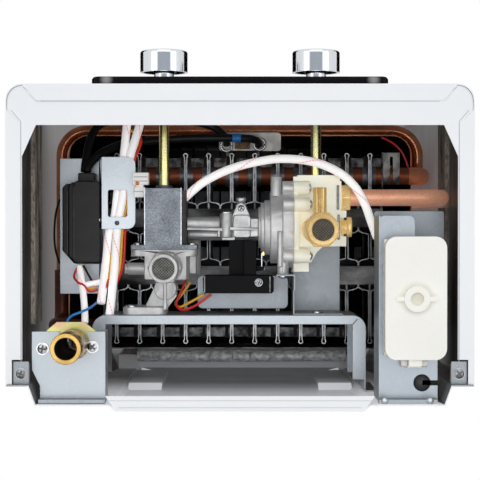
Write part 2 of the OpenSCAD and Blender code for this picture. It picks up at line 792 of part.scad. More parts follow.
// Burner bar seen from below: two sheets that run side by side and flare into two mouths
function flare_y(f, grow) = mouth_l / 2 - grow - f * (mouth_l - mouth_flat) / 2;
function flared(rail, side, grow) = [for (f = flare)
  [bar_t / 2 + f[1] * (mouth_half - bar_t / 2) - grow, rail + side * flare_y(f[0], grow)]];
function reversed(p) = [for (i = [len(p) - 1 : -1 : 0]) p[i]];
function mouth(rail, grow) = concat(flared(rail, -1, grow), reversed(flared(rail, 1, grow)));
function bar_side(grow) = concat([[bar_t / 2 - grow, bar_front]], mouth(rail_front, grow),
  mouth(rail_rear, grow),
  [[bar_t / 2 - grow, bar_rear]]);
module bar_outline(grow) {
  right = bar_side(grow);
  polygon(concat(right, [for (i = [len(right) - 1 : -1 : 0]) [-right[i].x, right[i].y]]));
}
module burner_bar() {
  low = 26;
  head_t = 5.6;
  difference() {
    union() {
      translate([0, 0, burner_z]) linear_extrude(low) {
        bar_outline(0);
        for (y = [bar_front, bar_rear]) translate([0, y]) circle(bead_r, $fn = 24);
      }
      bar_along_x(-collar_l, collar_l, cross_y, cross_z, cross_d / 2 + bore_gap + 0.9);
      block([-bar_t / 2, bar_front, burner_z + low - eps], [bar_t / 2, bar_rear, burner_z + bar_h - 12]);
      block([-head_t / 2, bar_front, burner_z + bar_h - 12], [head_t / 2, bar_rear, burner_z + bar_h]);
    }
    translate([0, 0, burner_z - 1]) linear_extrude(low - 3) {
      bar_outline(bar_sheet);
      for (y = [bar_front, bar_rear]) translate([0, y]) circle(bead_r - 0.7, $fn = 24);
    }
    bar_along_x(-10, 10, cross_y, cross_z, cross_d / 2 + bore_gap);
    for (y = combs) {
      block([-9, y + comb_w - spine_w - comb_gap, comb_z - comb_gap],
        [9, y + comb_w + comb_gap, comb_z + plate_t + comb_gap]);
    }
    for (k = [0 : 14]) {
      y = bar_front + 6 + k * (bar_rear - bar_front - 12) / 14;
      block([-head_t, y - 1, burner_z + bar_h - 8], [head_t, y + 1, burner_z + bar_h + 1]);
    }
  }
}
module burner_bars() {
  color("silver") for (i = [0 : bar_count - 1]) translate([bar_x(i), 0, 0]) burner_bar();
}

// Frame around the bars: side plates, rear wall and two slotted combs
module burner_frame() {
  x0 = burner_x - burner_half;
  x1 = burner_x + burner_half;
  rear = chamber_rear - chamber_t;
  color("dimgray") difference() {
    union() {
      for (x = [x0 - plate_t, x1]) block([x, bar_front - 3, comb_z - 4],
        [x + plate_t, rear, burner_z + bar_h + 4]);
      block([x0 - plate_t, rear - plate_t, comb_z], [x1 + plate_t, rear, burner_z + bar_h + 4]);
      for (y = combs) block([x0, y, comb_z], [x1, y + comb_w, comb_z + plate_t]);
    }
    for (i = [0 : bar_count - 1], y = combs) {
      slot = bar_t / 2 + comb_gap;
      block([bar_x(i) - slot, y - 1, comb_z - 1], [bar_x(i) + slot, y + comb_w - spine_w,
        comb_z + plate_t + 1]);
    }
    bar_along_x(x0 - 3, x1 + 3, cross_y, cross_z, cross_d / 2 + bore_gap);
  }
}

// Two gas rails under the mouths, one nozzle for each mouth, fed from the valve
module gas_manifold() {
  x0 = burner_x - burner_half + 1;
  x1 = burner_x + burner_half - 1;
  link_x = -37.5;
  feed_r = 7;
  feed_x = -2;
  color("darkgray") {
    for (y = [rail_front, rail_rear]) {
      block([x0, y - rail_w / 2, rail_top - rail_h], [x1, y + rail_w / 2, rail_top]);
      for (i = [0 : bar_count - 1]) bar_along_z(bar_x(i), y, rail_top - eps, rail_top + nozzle_h, nozzle_r);
    }
    block([link_x - 5, rail_front, rail_top - rail_h], [link_x + 5, rail_rear, rail_top]);
    bar_along_z(feed_x, rail_front, arm_far, rail_top - rail_h + eps, feed_r);
  }
}

// Angle that carries the chamber on the back plate, with two raised saddles
module rear_bracket() {
  x0 = -85.5;
  x1 = 87.7;
  z0 = burner_z + 3;
  front = chamber_rear;
  rear = -field_d;
  mid = (front + rear) / 2;
  bead = (rear - front) / 2 - 0.4;
  color("slategray") {
    block([x0, front, z0], [x1, rear, z0 + bracket_t]);
    block([x0, front, z0], [x1, front + bracket_t, chamber_z + 12]);
    block([x0, rear - bracket_t, z0], [x1, rear, field_z + 18]);
    difference() {
      union() {
        for (x = [[x0, -24.2], [25.4, x1], [-5.6, 7.8]]) bar_along_x(x[0], x[1], mid, z0, bead - 0.3);
        for (x = [-22.7, 8.6]) bar_along_x(x, x + 16, mid, z0, bead);
      }
      block([x0 - 1, front - 1, z0 + bracket_t - eps], [x1 + 1, rear + 1, z0 + 9]);
    }
  }
}

// Gas valve: cast body with inlet, test port, column and foot
module gas_valve_body() {
  near = valve_z - 22;
  far = valve_z + 24;
  stub_y = -97;
  stub_z = valve_z - 8;
  color("lightgray") difference() {
    union() {
      translate([0, joint_y, 0]) rotate([-90, 0, 0]) linear_extrude(flange_y - joint_y)
        round_rect([flange_left, -flange_far], [flange_right, -flange_near], 5);
      translate([0, 0, near + 4]) linear_extrude(far - near - 8)
        round_rect([-72.6, flange_y - 2], [-40.6, -88.8], 2);
      bar_along_z(inlet_x, inlet_y, gas_z, near + 5, thread_d / 2);
      translate([inlet_x, inlet_y, near - 18]) cylinder(r = 13, h = 14, $fn = 6);
      bar_along_z(inlet_x, inlet_y, near - 5, near + 10, 12);
      bar_along_x(-85.6, -70, stub_y, stub_z, 4.7);
      bar_along_x(-88, -85.5, stub_y, stub_z, 4);
      bar_along_y(-45, flange_y - 1, -89, valve_z - 4, 6.5);
      bar_along_y(-35.5, -126.8, -92, valve_z + 17.5, 4.8);
      block([-46, flange_y - eps, valve_z], [-34, -93, valve_z + 20]);
      bar_along_z(-56.7, -82.2, near + 2, valve_z + 10, 8.4);
      block([-57.8, -89, near], [-55.6, bridge_top - 4, near + 8]);
      translate([0, 0, near + 10]) linear_extrude(12)
        polygon([[-65.5, -83], [-71.6, -70], [-71.6, bridge_top - 4], [-56, bridge_top - 4],
          [-48.2, -76.5], [-48.2, -84]]);
      translate([0, bridge_top - 6, 0]) rotate([-90, 0, 0]) linear_extrude(6)
        round_rect([-88.7, -bridge_z - 38], [-55.8, -bridge_z - 4], 5);
    }
    bar_along_z(inlet_x, inlet_y, gas_z - 1, near + 20, fitting_bore / 2 + 0.6);
  }
}

module filter_screens() {
  r = fitting_bore / 2;
  color("gray") {
    bar_along_z(inlet_x, inlet_y, gas_z + 2, gas_z + 3.5, r + 0.6);
    bar_along_z(inlet_cx, inlet_cy, cold_z + 2, cold_z + 3.5, r);
  }
}

// Solenoid: folded frame around the coil, base plate on the valve flange
module solenoid_frame() {
  x0 = gas_x - sol_w / 2;
  x1 = gas_x + sol_w / 2;
  z0 = valve_z - sol_half_z;
  z1 = valve_z + sol_half_z;
  color("lightsteelblue") difference() {
    union() {
      block([x0, sol_top, z0], [x1, sol_base, z0 + sol_sheet]);
      block([x0, sol_top, z1 - sol_sheet], [x1, sol_base, z1]);
      block([x0, sol_top, z0], [x1, sol_top + sol_sheet, z1]);
      block([flange_left, sol_base, flange_near], [flange_right, joint_y, flange_far]);
      block([x0, sol_base, z0], [x1, sol_base + 2, z1]);
      bar_along_y(gas_x, sol_top - 2.4, sol_top + eps, valve_z, 6.5);
    }
    bar_along_y(gas_x, sol_top - 4, sol_top + 12, valve_z, shaft_d / 2 + run_gap);
  }
}
module solenoid_coil() {
  z0 = valve_z - sol_half_z + sol_sheet;
  z1 = valve_z + sol_half_z - sol_sheet;
  color("black") difference() {
    translate([0, sol_top + sol_sheet, 0]) rotate([-90, 0, 0])
      linear_extrude(sol_base - sol_top - sol_sheet)
      round_rect([gas_x - sol_w / 2 + 0.5, -z1], [gas_x + sol_w / 2 + 3.6, -z0], 5);
    bar_along_y(gas_x, sol_top - 1, sol_top + sol_sheet + 10.5, valve_z, shaft_d / 2 + 0.5);
  }
}
module solenoid_plug() {
  x1 = gas_x - sol_w / 2 - 0.1;
  color("white") {
    block([x1 - 8, sol_top - 1, valve_z - 12], [x1, sol_top + 7, valve_z - 2]);
    block([x1 - 9.5, sol_top - 12, valve_z - 10], [x1 + 3, sol_top - 2.6, valve_z]);
    block([x1 - 7, sol_top - 2.7, valve_z - 9], [x1 - 1, sol_top - 0.9, valve_z - 4]);
  }
}

// Casting between the two valves: passes the push rod and the gas
module link_housing() {
  near = link_near;
  ear = [0.9, -143.2];
  color("lightgray") difference() {
    union() {
      bar_along_x(-40.4, -15.5, -131.8, near + 5.3, 5.2);
      block([-40.4, -136.4, near + 5], [-15.5, -127.2, arm_far - 2.1]);
      block([-40.4, -128.2, near + 1], [neck_x0, -126.6, near + 12]);
      bar_along_y(-10.5, -139.4, -121, near + 5, 5);
      translate([0, 0, near + 2]) linear_extrude(arm_far - near - 2) round_rect([-5, -138], [8, -121], 2.5);
      block([-17, -135.5, near + 4], [neck_x0, -121.5, arm_far]);
      bar_along_x(6, neck_x0, -129, valve_z, 8);
      bar_along_x(-40.2, neck_x0, -123.2, valve_z - 2, 4.5);
      block([-14, -122, near + 5], [-4, switch_top - 0.3, near + 11]);
      translate([0, 0, near + 3]) linear_extrude(4) {
        polygon([[-6.2, -136.5], [7.8, -136.5], [ear.x + 3.6, ear.y - 2], [ear.x - 3.6, ear.y - 2]]);
        translate(ear) circle(4.2);
      }
      bar_along_y(ear.x, -151.5, -148.5, near + 9, 3.9);
      bar_along_y(ear.x, -148.6, -136, near + 9, 2.8);
    }
    bar_along_x(-32, neck_x0 + 1, valve_y, valve_z, rod_r + run_gap);
  }
}
module push_rod() {
  color("khaki") {
    bar_along_x(-26, seal_x - 6, valve_y, valve_z, rod_r);
    block([finger_x, valve_y, valve_z - 1.5], [finger_x + finger_t, finger_end, valve_z + 1.5]);
  }
}

// Water valve: cast cover with stepped neck, flange lugs and a foot post
module water_valve_cover() {
  color("lightgray") difference() {
    union() {
      for (i = [0 : len(rings) - 1]) {
        end = i + 1 < len(rings) ? rings[i + 1][0] : seal_x;
        bar_along_x(rings[i][0], end, valve_y, valve_z, rings[i][1]);
      }
      for (p = lugs) bar_along_x(rings[4][0], seal_x, valve_y + p.x, valve_z + p.y, lug_r);
      bar_along_y(27.6, -167.3, valve_y - 15, valve_z - 10, 4.2);
      bar_along_y(30.3, valve_y + 3, -99, valve_z - 27, 2.1);
      bar_along_y((post_x0 + post_x1) / 2, -108, tab_top, valve_z - 24, (post_x1 - post_x0) / 2 + 0.6);
    }
    bar_along_x(neck_x0 - 1, seal_x - 2, valve_y, valve_z, rod_r + run_gap);
    block([neck_x0 + 0.3, valve_y, valve_z - 1.9], [finger_x + finger_t + 0.35, finger_end + 2,
      valve_z + 1.9]);
  }
}

// Moulded half of the water valve with its inlet chamber and outlet sockets
module water_valve_body() {
  mid_top = -142;
  mid_base = -114.4;
  color("beige") difference() {
    union() {
      bar_along_x(seal_x, 44.5, valve_y, valve_z, disc_r);
      for (p = lugs) bar_along_x(seal_x, lug_x, valve_y + p.x, valve_z + p.y, lug_r);
      translate([0, 0, body_near]) linear_extrude(body_far - body_near)
        round_rect([43, mid_top], [73, mid_base], 1.5);
      block([50, -164, socket_near], [out_x, mid_top + 1, body_far]);
      block([43, -164, valve_z - 6], [52, mid_top + 1, body_far]);
      block([44, cap_top, valve_z - 8], [76.5, -163.5, valve_z + 12]);
      block([seal_x, -167.5, valve_z - 10], [45.8, -154, valve_z]);
      block([71, mid_top + 0.5, drain_near], [drain_x, mid_base, body_far]);
      block([seal_x, -102, valve_z - 14], [52.4, -95, valve_z + 12]);
      translate([0, 0, valve_z - 16]) linear_extrude(20)
        polygon([[43, mid_base - 1], [64.3, mid_base - 1], [58.5, -110], [54, -102], [43, -102]]);
      bar_along_x(out_x - eps, out_x + 0.6, out_y, valve_z, 9);
    }
    bar_along_z(inlet_cx, inlet_cy, body_near - 1, body_near + 9, 9.7);
    bar_along_y(water_x, cap_top - 1, cap_top + 11, knob_z, shaft_d / 2 + run_gap);
    bar_along_x(drain_x - 8, drain_x + 1, drain_y, valve_z, 5.4);
    block([clip_x + 2.2, drain_y - 7.2, drain_near - 1], [drain_x + 1, drain_y + 7.2, valve_z + 8]);
  }
}

// Brass inlet: thread, octagon, tube into the valve and a hexagon plug to the front
module cold_inlet() {
  plug_x = inlet_cx + 2.8;
  plug_z = body_near - 18;
  plug_r = 5.2;
  color("goldenrod") difference() {
    union() {
      bar_along_z(inlet_cx, inlet_cy, cold_z, cold_z + 20, thread_d / 2);
      translate([inlet_cx, inlet_cy, cold_z + 18]) rotate(22.5) cylinder(r = 12.8, h = 12, $fn = 8);
      bar_along_z(inlet_cx, inlet_cy, cold_z + 18, body_near + 8.5, 9.5);
      bar_along_y(plug_x, -158.4, inlet_cy - 6, plug_z, plug_r);
    }
    bar_along_z(inlet_cx, inlet_cy, cold_z - 1, body_near + 20, fitting_bore / 2);
    for (x = [-1.9, 1.5]) bar_along_y(plug_x + x, -160, inlet_cy - 10, plug_z - plug_r + 0.2, 0.7);
  }
}

module outlet_nut() {
  x0 = out_x + 0.6;
  color("goldenrod") difference() {
    translate([x0, out_y, valve_z]) rotate([0, 90, 0]) cylinder(r = 11, h = 6.6, $fn = 6);
    bar_along_x(x0 - 1, x0 + 8, out_y, valve_z, pipe_d / 2 + 0.1);
  }
}
module drain_plug() {
  color("goldenrod") {
    bar_along_x(drain_x - 7, drain_x + 2, drain_y, valve_z, 5.3);
    bar_along_x(drain_x + 2 - eps, drain_x + 5.4, drain_y, valve_z, 7.7);
  }
}

// Steel staples that lock the outlet nut and the drain plug
module valve_clips() {
  color("silver") {
    block([clip_x, out_y - 9.4, socket_near - 1.6], [clip_x + 1.8, out_y + 9.2, socket_near]);
    block([clip_x, drain_y - 9.4, drain_near - 1.6], [clip_x + 1.8, drain_y + 9.6, drain_near]);
  }
}

module cold_pipe() {
  color("chocolate") pipe([[out_x + 0.8, out_y, valve_z], [cold_riser_x, out_y, valve_z],
    [cold_riser_x, out_y, boss_z]], [14], pipe_d / 2);
}

// Screws of the valves, each on the face that it clamps
module valve_screws() {
  small = 2.9;
  color("silver") {
    for (x = [flange_left + 4.6, flange_right - 4.1]) translate([x, sol_base, valve_z - 8])
      rotate([-90, 0, 0]) head(3.4);
    translate([-10.5, -139.4, link_near + 5]) rotate([-90, 0, 0]) head(4.8);
    translate([0.9, -143.2, link_near + 3]) head(3);
    for (p = lugs) translate([lug_x, valve_y + p.x, valve_z + p.y]) rotate([0, -90, 0]) head(3.4);
    translate([(post_x0 + post_x1) / 2, tab_top + bracket_t, valve_z - 25]) rotate([90, 0, 0]) head(3.6);
    translate([-82.5, bridge_top - 6, bridge_z + 10]) rotate([-90, 0, 0]) head(4);
    translate([59, bridge_top - bracket_t, bridge_z + 14]) rotate([-90, 0, 0]) head(4);
    translate([box_x1 - 11.4, -87, box_near]) head(small);
  }
}

// Bridge from wall to wall of the valve group: folded channel with two legs
module bridge_outline(inset) {
  x0 = bridge_left + inset;
  x1 = bridge_right - inset;
  y0 = bridge_top + inset;
  r = max(bridge_r - inset, 1);
  translate([x0, y0 + r]) square([x1 - x0, side_face - y0 - r]);
  translate([x0 + r, y0]) square([x1 - x0 - 2 * r, side_face - y0]);
  for (x = [x0 + r, x1 - r]) translate([x, y0 + r]) circle(r);
}
module valve_bridge() {
  color("lightsteelblue") {
    translate([0, 0, bridge_z]) linear_extrude(bridge_l) difference() {
      bridge_outline(0);
      bridge_outline(bracket_t);
      translate([bridge_left + bracket_t, side_face - 1])
        square([bridge_right - bridge_left - 2 * bracket_t, 2]);
    }
    for (z = [bridge_z, bridge_z + bridge_l - bracket_t]) translate([0, 0, z]) linear_extrude(bracket_t)
      difference() {
      bridge_outline(bracket_t / 2);
      translate([bridge_left + bridge_leg_flange, bridge_top + bridge_flange])
        square([bridge_right - bridge_left - 2 * bridge_leg_flange, 99]);
      translate([bridge_left, -14]) square([bridge_right - bridge_left, 20]);
    }
    block([bridge_right - eps, side_face - bracket_t, bridge_z],
      [bridge_right + bridge_foot - 3, side_face, bridge_z + bridge_l]);
    block([bridge_left - bridge_foot, side_face - bracket_t, bridge_z],
      [bridge_left + eps, side_face, bridge_z + bridge_l]);
  }
}

// Bracket that carries the water valve on the bridge
module valve_support() {
  t = bracket_t;
  color("lightsteelblue") {
    block([support_x0, tab_top - 7.3, support_far], [support_x1, bridge_top, support_far + t]);
    block([support_x0 + 8, support_top, support_far], [support_x1, tab_top, support_far + t]);
    block([support_x0, tab_top, support_z], [support_x0 + t, bridge_top, support_far + t]);
    block([support_x0, bridge_top - t, support_z], [support_x1, bridge_top, support_far + t]);
    block([post_x0 - 1.5, tab_top, valve_z - 32], [support_x0 + t, tab_top + t, valve_z - 16]);
    block([support_x0, tab_top, valve_z - 32], [support_x0 + t, tab_top + 12, support_z + 4]);
  }
}

// Microswitch with a lever on a pin, pushed by the finger of the push rod
module microswitch() {
  lug = 1.7;
  color("black") {
    block([switch_x0, switch_top, box_near + 4], [switch_x1, box_top, valve_z - 3]);
    block([-8.4, switch_top, box_far - 6], [switch_x0 + eps, box_top, box_far - 4.8]);
    block([switch_x1 - eps, lever_y - lug, valve_z - 10], [lever_x + lug, lever_y + lug, valve_z - 5]);
    bar_along_z(lever_x, lever_y, valve_z - 6, valve_z + 1, lever_pin_r);
  }
}
module switch_lever() {
  color("silver") difference() {
    union() {
      bar_along_z(lever_x, lever_y, valve_z - 4.6, valve_z + 1.5, lever_pin_r + 1);
      block([lever_x - 0.3, lever_top, valve_z - 3], [lever_x + 0.3, lever_y, valve_z + 1.5]);
    }
    bar_along_z(lever_x, lever_y, valve_z - 6, valve_z + 2, lever_pin_r + run_gap);
  }
}
module switch_box() {
  color("black") translate([0, 0, box_near]) linear_extrude(box_far - box_near)
    round_rect([box_x0, box_top], [box_x1, box_base], 2.5);
}
module switch_plate() {
  color("lightsteelblue") translate([0, 0, box_far]) linear_extrude(bracket_t)
    round_rect([-32.7, box_top + 1], [37, bridge_top - 3.9], 4);
}

// Igniter: folded bracket with a front wing, ribbed box with a cable gland
module igniter_bracket() {
  t = bracket_t;
  color("lightsteelblue") difference() {
    union() {
      block([ign_left + 1.6, ign_front, ign_z], [ign_wall_x + t, ign_rear, ign_z + t]);
      block([ign_left + 1.6, ign_front + 8, ign_z], [ign_left + 1.6 + t, ign_front + 24, chamber_z + 20]);
      block([ign_left, ign_front + 8, chamber_z + 20 - t], [ign_left + 4.6, ign_front + 24,
        chamber_z + 20]);
      block([ign_wall_x, ign_front, wing_z], [ign_wall_x + t, wing_rear, ign_z + t]);
      translate([0, 0, wing_z]) linear_extrude(t) {
        round_rect([ign_wall_x, ign_front], [wing_right, wing_rear], 6);
        translate([ign_wall_x, ign_front]) square([8, wing_rear - ign_front]);
      }
    }
    translate([0, 0, wing_z - 1]) linear_extrude(t + 2) round_rect([-101.8, -157.5], [-87, -136.8], 1.5);
    bar_along_z(-94.8, -132, wing_z - 1, wing_z + 3, 1.7);
  }
}
module igniter_box() {
  x0 = ign_box_x0;
  x1 = ign_box_x1;
  y0 = ign_box_y0;
  y1 = ign_box_y1;
  color("black") {
    translate([0, 0, ign_box_z + 7]) linear_extrude(ign_z - ign_box_z - 7)
      polygon([[x0, y0 + 5], [x0 + 3, y0 + 2], [x1, y0 + 2], [x1, y1], [x0 + 9, y1], [x0, y1 - 10]]);
    translate([0, 0, ign_box_z + 3]) linear_extrude(5)
      polygon([[x0 + 5, y0 + 5], [x0 + 7.5, y0 + 1], [x1, y0 + 1], [x1, y1], [x0 + 11, y1],
        [x0 + 5, y1 - 6]]);
    translate([0, 0, ign_box_z]) linear_extrude(4) round_rect([x0 + 9.5, y0], [x1, y1 - 1], 2.5);
    block([x0 + 12, y0 - 6.4, 110.5], [x0 + 25, y0 + 3, 126.5]);
  }
}

module electrode_bracket() {
  t = bracket_t;
  x0 = -17.5;
  x1 = 34.2;
  front = chamber_front - t;
  color("slategray") difference() {
    union() {
      translate([0, 0, elec_z]) linear_extrude(t) round_rect([x0, front], [x1, front + 15.8], 3);
      block([x0 + 3, front, elec_z], [x1 - 3, front + t, coil_z - coil_r - 1]);
    }
    for (x = elec_x) bar_along_z(x, elec_y, elec_z - 1, elec_z + 3, elec_r + 0.1);
  }
}
module electrodes() {
  color("ivory") for (x = elec_x) {
    difference() {
      bar_along_z(x, elec_y, elec_z - 7, elec_z + 20, elec_r);
      bar_along_z(x, elec_y, elec_z - 8, elec_z - 4, lead_r + 0.2);
    }
    pipe([[x, elec_y, elec_z + 20 - eps], [x, elec_y, burner_z + bar_h + 8],
      [x, bar_front + 8, burner_z + bar_h + 8]], [4], 1.2);
  }
}
module ignition_leads() {
  color("black") {
    lead(lead_a, lead_r, 8, 3);
    lead(lead_b, lead_r, 8, 3);
  }
}

// Hot outlet: brass end held by a flange behind its bracket
module hot_outlet() {
  top = bracket_z + bracket_t + hot_flange_t + 24;
  color("goldenrod") difference() {
    union() {
      bar_along_z(hot_x, hot_y, hot_z, bracket_z - 4, thread_d / 2);
      bar_along_z(hot_x, hot_y, bracket_z - 6, top, 9.4);
    }
    bar_along_z(hot_x, hot_y, hot_z - 1, top + 1, fitting_bore / 2);
  }
}
module outlet_flange() {
  z0 = bracket_z + bracket_t;
  x0 = hot_x - 19;
  x1 = hot_x + 15.5;
  top = bracket_top - 6.6;
  color("khaki") difference() {
    translate([0, 0, z0]) linear_extrude(hot_flange_t) polygon([[x0, top + 6], [x0 + 7, top], [x1 - 8, top],
      [x1, top + 6], [x1, hot_y + 14], [x0, hot_y + 14]]);
    bar_along_z(hot_x, hot_y, z0 - 1, z0 + 9, 9.5);
  }
}
module outlet_bracket() {
  t = bracket_t;
  cut_x = 5.7;
  color("lightsteelblue") difference() {
    union() {
      translate([0, 0, bracket_z]) linear_extrude(t) polygon([[bracket_x0, bracket_top],
        [bracket_x1, bracket_top], [bracket_x1, side_face],
        [bracket_x0 + cut_x, side_face], [bracket_x0 + cut_x, -16.4], [bracket_x0, -27.8]]);
      block([bracket_x1 - t, bracket_top, bracket_z], [bracket_x1, side_face, bracket_z + 20]);
      block([bracket_x0 + cut_x, side_face - t, bracket_z], [bracket_x1, side_face, bracket_z + 30]);
    }
    bar_along_z(hot_x, hot_y, bracket_z - 1, bracket_z + 3, thread_d / 2 + 0.6);
    block([hot_x - 9.6, bracket_top - 1, bracket_z - 1], [hot_x + 9.6, hot_y, bracket_z + 3]);
  }
}
module outlet_screws() {
  color("silver") for (p = [[-140.2, -42.8], [-104.8, -44.2]]) {
    translate([p.x, p.y, bracket_z]) head(4.4);
  }
}
module hot_pipe() {
  top = bracket_z + bracket_t + hot_flange_t + 24;
  color("chocolate") pipe([[-riser_x, hot_joint_y, coil_z], [-riser_x, hot_y, coil_z],
    [-riser_x, hot_y, burner_z], [hot_x, hot_y, burner_z], [hot_x, hot_y, top]], [9.8, 9.8, 9.8], pipe_d / 2);
}

// Battery box hung in its bracket, with a cover hinged along the rear edge
module battery_bracket() {
  t = bracket_t;
  z1 = bracket_z + plate_flange;
  open = 0.4;
  color("lightsteelblue") difference() {
    union() {
      translate([0, 0, bracket_z]) linear_extrude(t) {
        translate([plate_x0, plate_top + 6]) square([plate_x1 - plate_x0, side_face - plate_top - 6]);
        round_rect([plate_x0, plate_top], [plate_x0 + 25.6, plate_top + 30], 4);
      }
      block([plate_x0, plate_top, bracket_z], [plate_x0 + t, side_face, z1]);
      translate([0, 0, z1 - t]) linear_extrude(t) round_rect([plate_x0, plate_top - 3.4],
        [inner_x - pad_t - 11, batt_y + 45], 2);
      block([plate_x0, side_face - t, bracket_z], [plate_x1, side_face, bracket_z + 34]);
    }
    block([batt_x - box_w / 2 - open, batt_y - box_l / 2 - open, bracket_z - 1],
      [batt_x + box_w / 2 + open, batt_y + box_l / 2 + open, z1 + 1]);
    block([plate_x0 + 25.6, plate_top - 1, bracket_z - 1], [plate_x1 + 1, plate_top + 14.6, bracket_z + 2]);
    bar_along_z(key_x, -18.5, bracket_z - 1, bracket_z + 3, 6);
    block([key_x, -20.2, bracket_z - 1], [plate_x1 + 1, -16.8, bracket_z + 3]);
  }
}
module battery_box() {
  x0 = batt_x - box_w / 2;
  x1 = batt_x + box_w / 2;
  y0 = batt_y - box_l / 2;
  y1 = batt_y + box_l / 2;
  z1 = box_z + box_h;
  rim = bracket_z - box_z;
  arm = 3;
  color("ivory") difference() {
    union() {
      block([x0, y0, box_z], [x1, y1, z1]);
      block([x0 - 2, y0 - 2, box_z], [x1 + 2, y1 + 2, box_z + rim]);
      for (x = [batt_x - 9, batt_x + 5]) {
        block([x, y1, box_z], [x + 4, hinge_y, box_z + arm]);
        bar_along_x(x, x + 4, hinge_y, hinge_z, knuckle_r);
      }
    }
    block([x0 + wall, y0 + wall, box_z - 1], [x1 - wall, y1 - wall, z1 - wall]);
    bar_along_x(batt_x - 20, batt_x + 20, hinge_y, hinge_z, hinge_r + run_gap);
  }
}
module battery_cover() {
  x0 = batt_x - batt_w / 2;
  x1 = batt_x + batt_w / 2;
  y0 = batt_y - batt_l / 2;
  y1 = batt_y + batt_l / 2;
  skin = 2;
  grip_r = 9;
  color("ivory") difference() {
    union() {
      translate([0, 0, lid_z]) linear_extrude(lid_t) {
        round_rect([x0, y0], [x1, y1], 8);
      }
      bar_along_z(batt_x + 0.5, batt_y + 0.4, lid_z - 3, lid_z + eps, grip_r);
      block([batt_x - 14.2, batt_y - 1.2, lid_z - 1.6], [batt_x + 15.2, batt_y + 2, lid_z + eps]);
      block([batt_x - 4.6, y1 - 2, lid_z + 4], [batt_x + 4.6, hinge_y - 2.4, lid_z + 7]);
      difference() {
        block([batt_x - 4.6, hinge_y - knuckle_r, lid_z + 4], [batt_x + 4.6, hinge_y + knuckle_r, hinge_z]);
        block([batt_x - 5, hinge_y + 1.5, lid_z], [batt_x + 5, hinge_y + 9, hinge_z - 3]);
      }
      bar_along_x(batt_x - 8.6, batt_x + 8.6, hinge_y, hinge_z, hinge_r);
    }
    translate([0, 0, lid_z + skin]) linear_extrude(lid_t) round_rect([x0 + skin, y0 + skin],
      [x1 - skin, y1 - skin], 6);
    bar_along_z(batt_x + 0.5, batt_y + 0.4, lid_z - 4, lid_z + 0.6, grip_r - 4.4);
  }
}
module battery_cells() {
  color("dimgray") for (s = [-1, 1]) {
    y = batt_y + s * (cell_d / 2 + 0.3);
    bar_along_z(batt_x, y, box_z + box_h - wall - 1 - cell_l - 1.5, box_z + box_h - wall - 1,
      cell_d / 2 - 0.1);
    bar_along_z(batt_x, y, box_z + box_h - wall - 1 - eps, box_z + box_h - wall, 4);
  }
}

module harness_sleeves() {
  color("white") {
    lead(sleeve_arc, sleeve_r, 10, 3);
    lead(sleeve_a, sleeve_r, 10, 3);
    lead(sleeve_b, sleeve_r, 10, 3);
    lead(sleeve_c, sleeve_r * 0.8, 10, 3);
  }
}
module harness_wires() {
  color("firebrick") for (w = [wire_red, wire_yellow, loop_red, loop_yellow, wire_blue])
    lead(w, wire_r, 8, 3);
}

front_cover();
bottom_frame();
control_panel();
gas_knob();
water_knob();
gas_shaft();
water_shaft();
back_plate();
casing_screws();
side_pads();
flue_hood();
flue_collar();
heat_exchanger();
combustion_chamber();
heating_coil();
burner_frame();
burner_bars();
gas_manifold();
cross_pipe();
pipe_clip();
rear_bracket();
gas_valve_body();
filter_screens();
solenoid_frame();
solenoid_coil();
solenoid_plug();
link_housing();
push_rod();
water_valve_cover();
water_valve_body();
cold_inlet();
outlet_nut();
drain_plug();
valve_clips();
cold_pipe();
valve_screws();
valve_bridge();
valve_support();
microswitch();
switch_lever();
switch_box();
switch_plate();
igniter_bracket();
igniter_box();
electrode_bracket();
electrodes();
ignition_leads();
hot_outlet();
outlet_flange();
outlet_bracket();
outlet_screws();
hot_pipe();
battery_bracket();
battery_box();
battery_cover();
battery_cells();
harness_sleeves();
harness_wires();
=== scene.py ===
import math

import bpy
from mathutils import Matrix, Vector


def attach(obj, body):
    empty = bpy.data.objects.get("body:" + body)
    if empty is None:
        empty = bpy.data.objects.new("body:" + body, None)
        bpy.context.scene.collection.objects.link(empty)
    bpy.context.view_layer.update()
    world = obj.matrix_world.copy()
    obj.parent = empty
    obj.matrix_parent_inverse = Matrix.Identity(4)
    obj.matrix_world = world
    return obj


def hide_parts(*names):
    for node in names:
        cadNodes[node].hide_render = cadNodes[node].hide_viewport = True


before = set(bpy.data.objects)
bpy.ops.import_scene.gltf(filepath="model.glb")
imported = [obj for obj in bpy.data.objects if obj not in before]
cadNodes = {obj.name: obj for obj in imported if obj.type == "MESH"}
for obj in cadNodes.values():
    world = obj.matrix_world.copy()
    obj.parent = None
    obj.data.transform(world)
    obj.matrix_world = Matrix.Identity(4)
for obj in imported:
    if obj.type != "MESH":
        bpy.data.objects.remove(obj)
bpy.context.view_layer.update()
bpy.context.scene.view_settings.view_transform = "Standard"
print("frame loaded:", len(cadNodes), "nodes")


# node groups shared by the finishes
def newGroup(name, inputs, outputs):
    group = bpy.data.node_groups.new(name, "ShaderNodeTree")
    for socketName, kind, default in inputs:
        socket = group.interface.new_socket(name=socketName, in_out="INPUT", socket_type=kind)
        socket.default_value = default
    for socketName, kind in outputs:
        group.interface.new_socket(name=socketName, in_out="OUTPUT", socket_type=kind)
    entry = group.nodes.new("NodeGroupInput")
    leave = group.nodes.new("NodeGroupOutput")
    return group, entry, leave


def setInputs(node, inputs):
    for key, value in inputs.items():
        node.inputs[key].default_value = value


def addNode(tree, kind, inputs=None, **values):
    node = tree.nodes.new(kind)
    for key, value in values.items():
        setattr(node, key, value)
    setInputs(node, inputs or {})
    return node


def join(tree, source, output, target, entry):
    tree.links.new(source.outputs[output], target.inputs[entry])


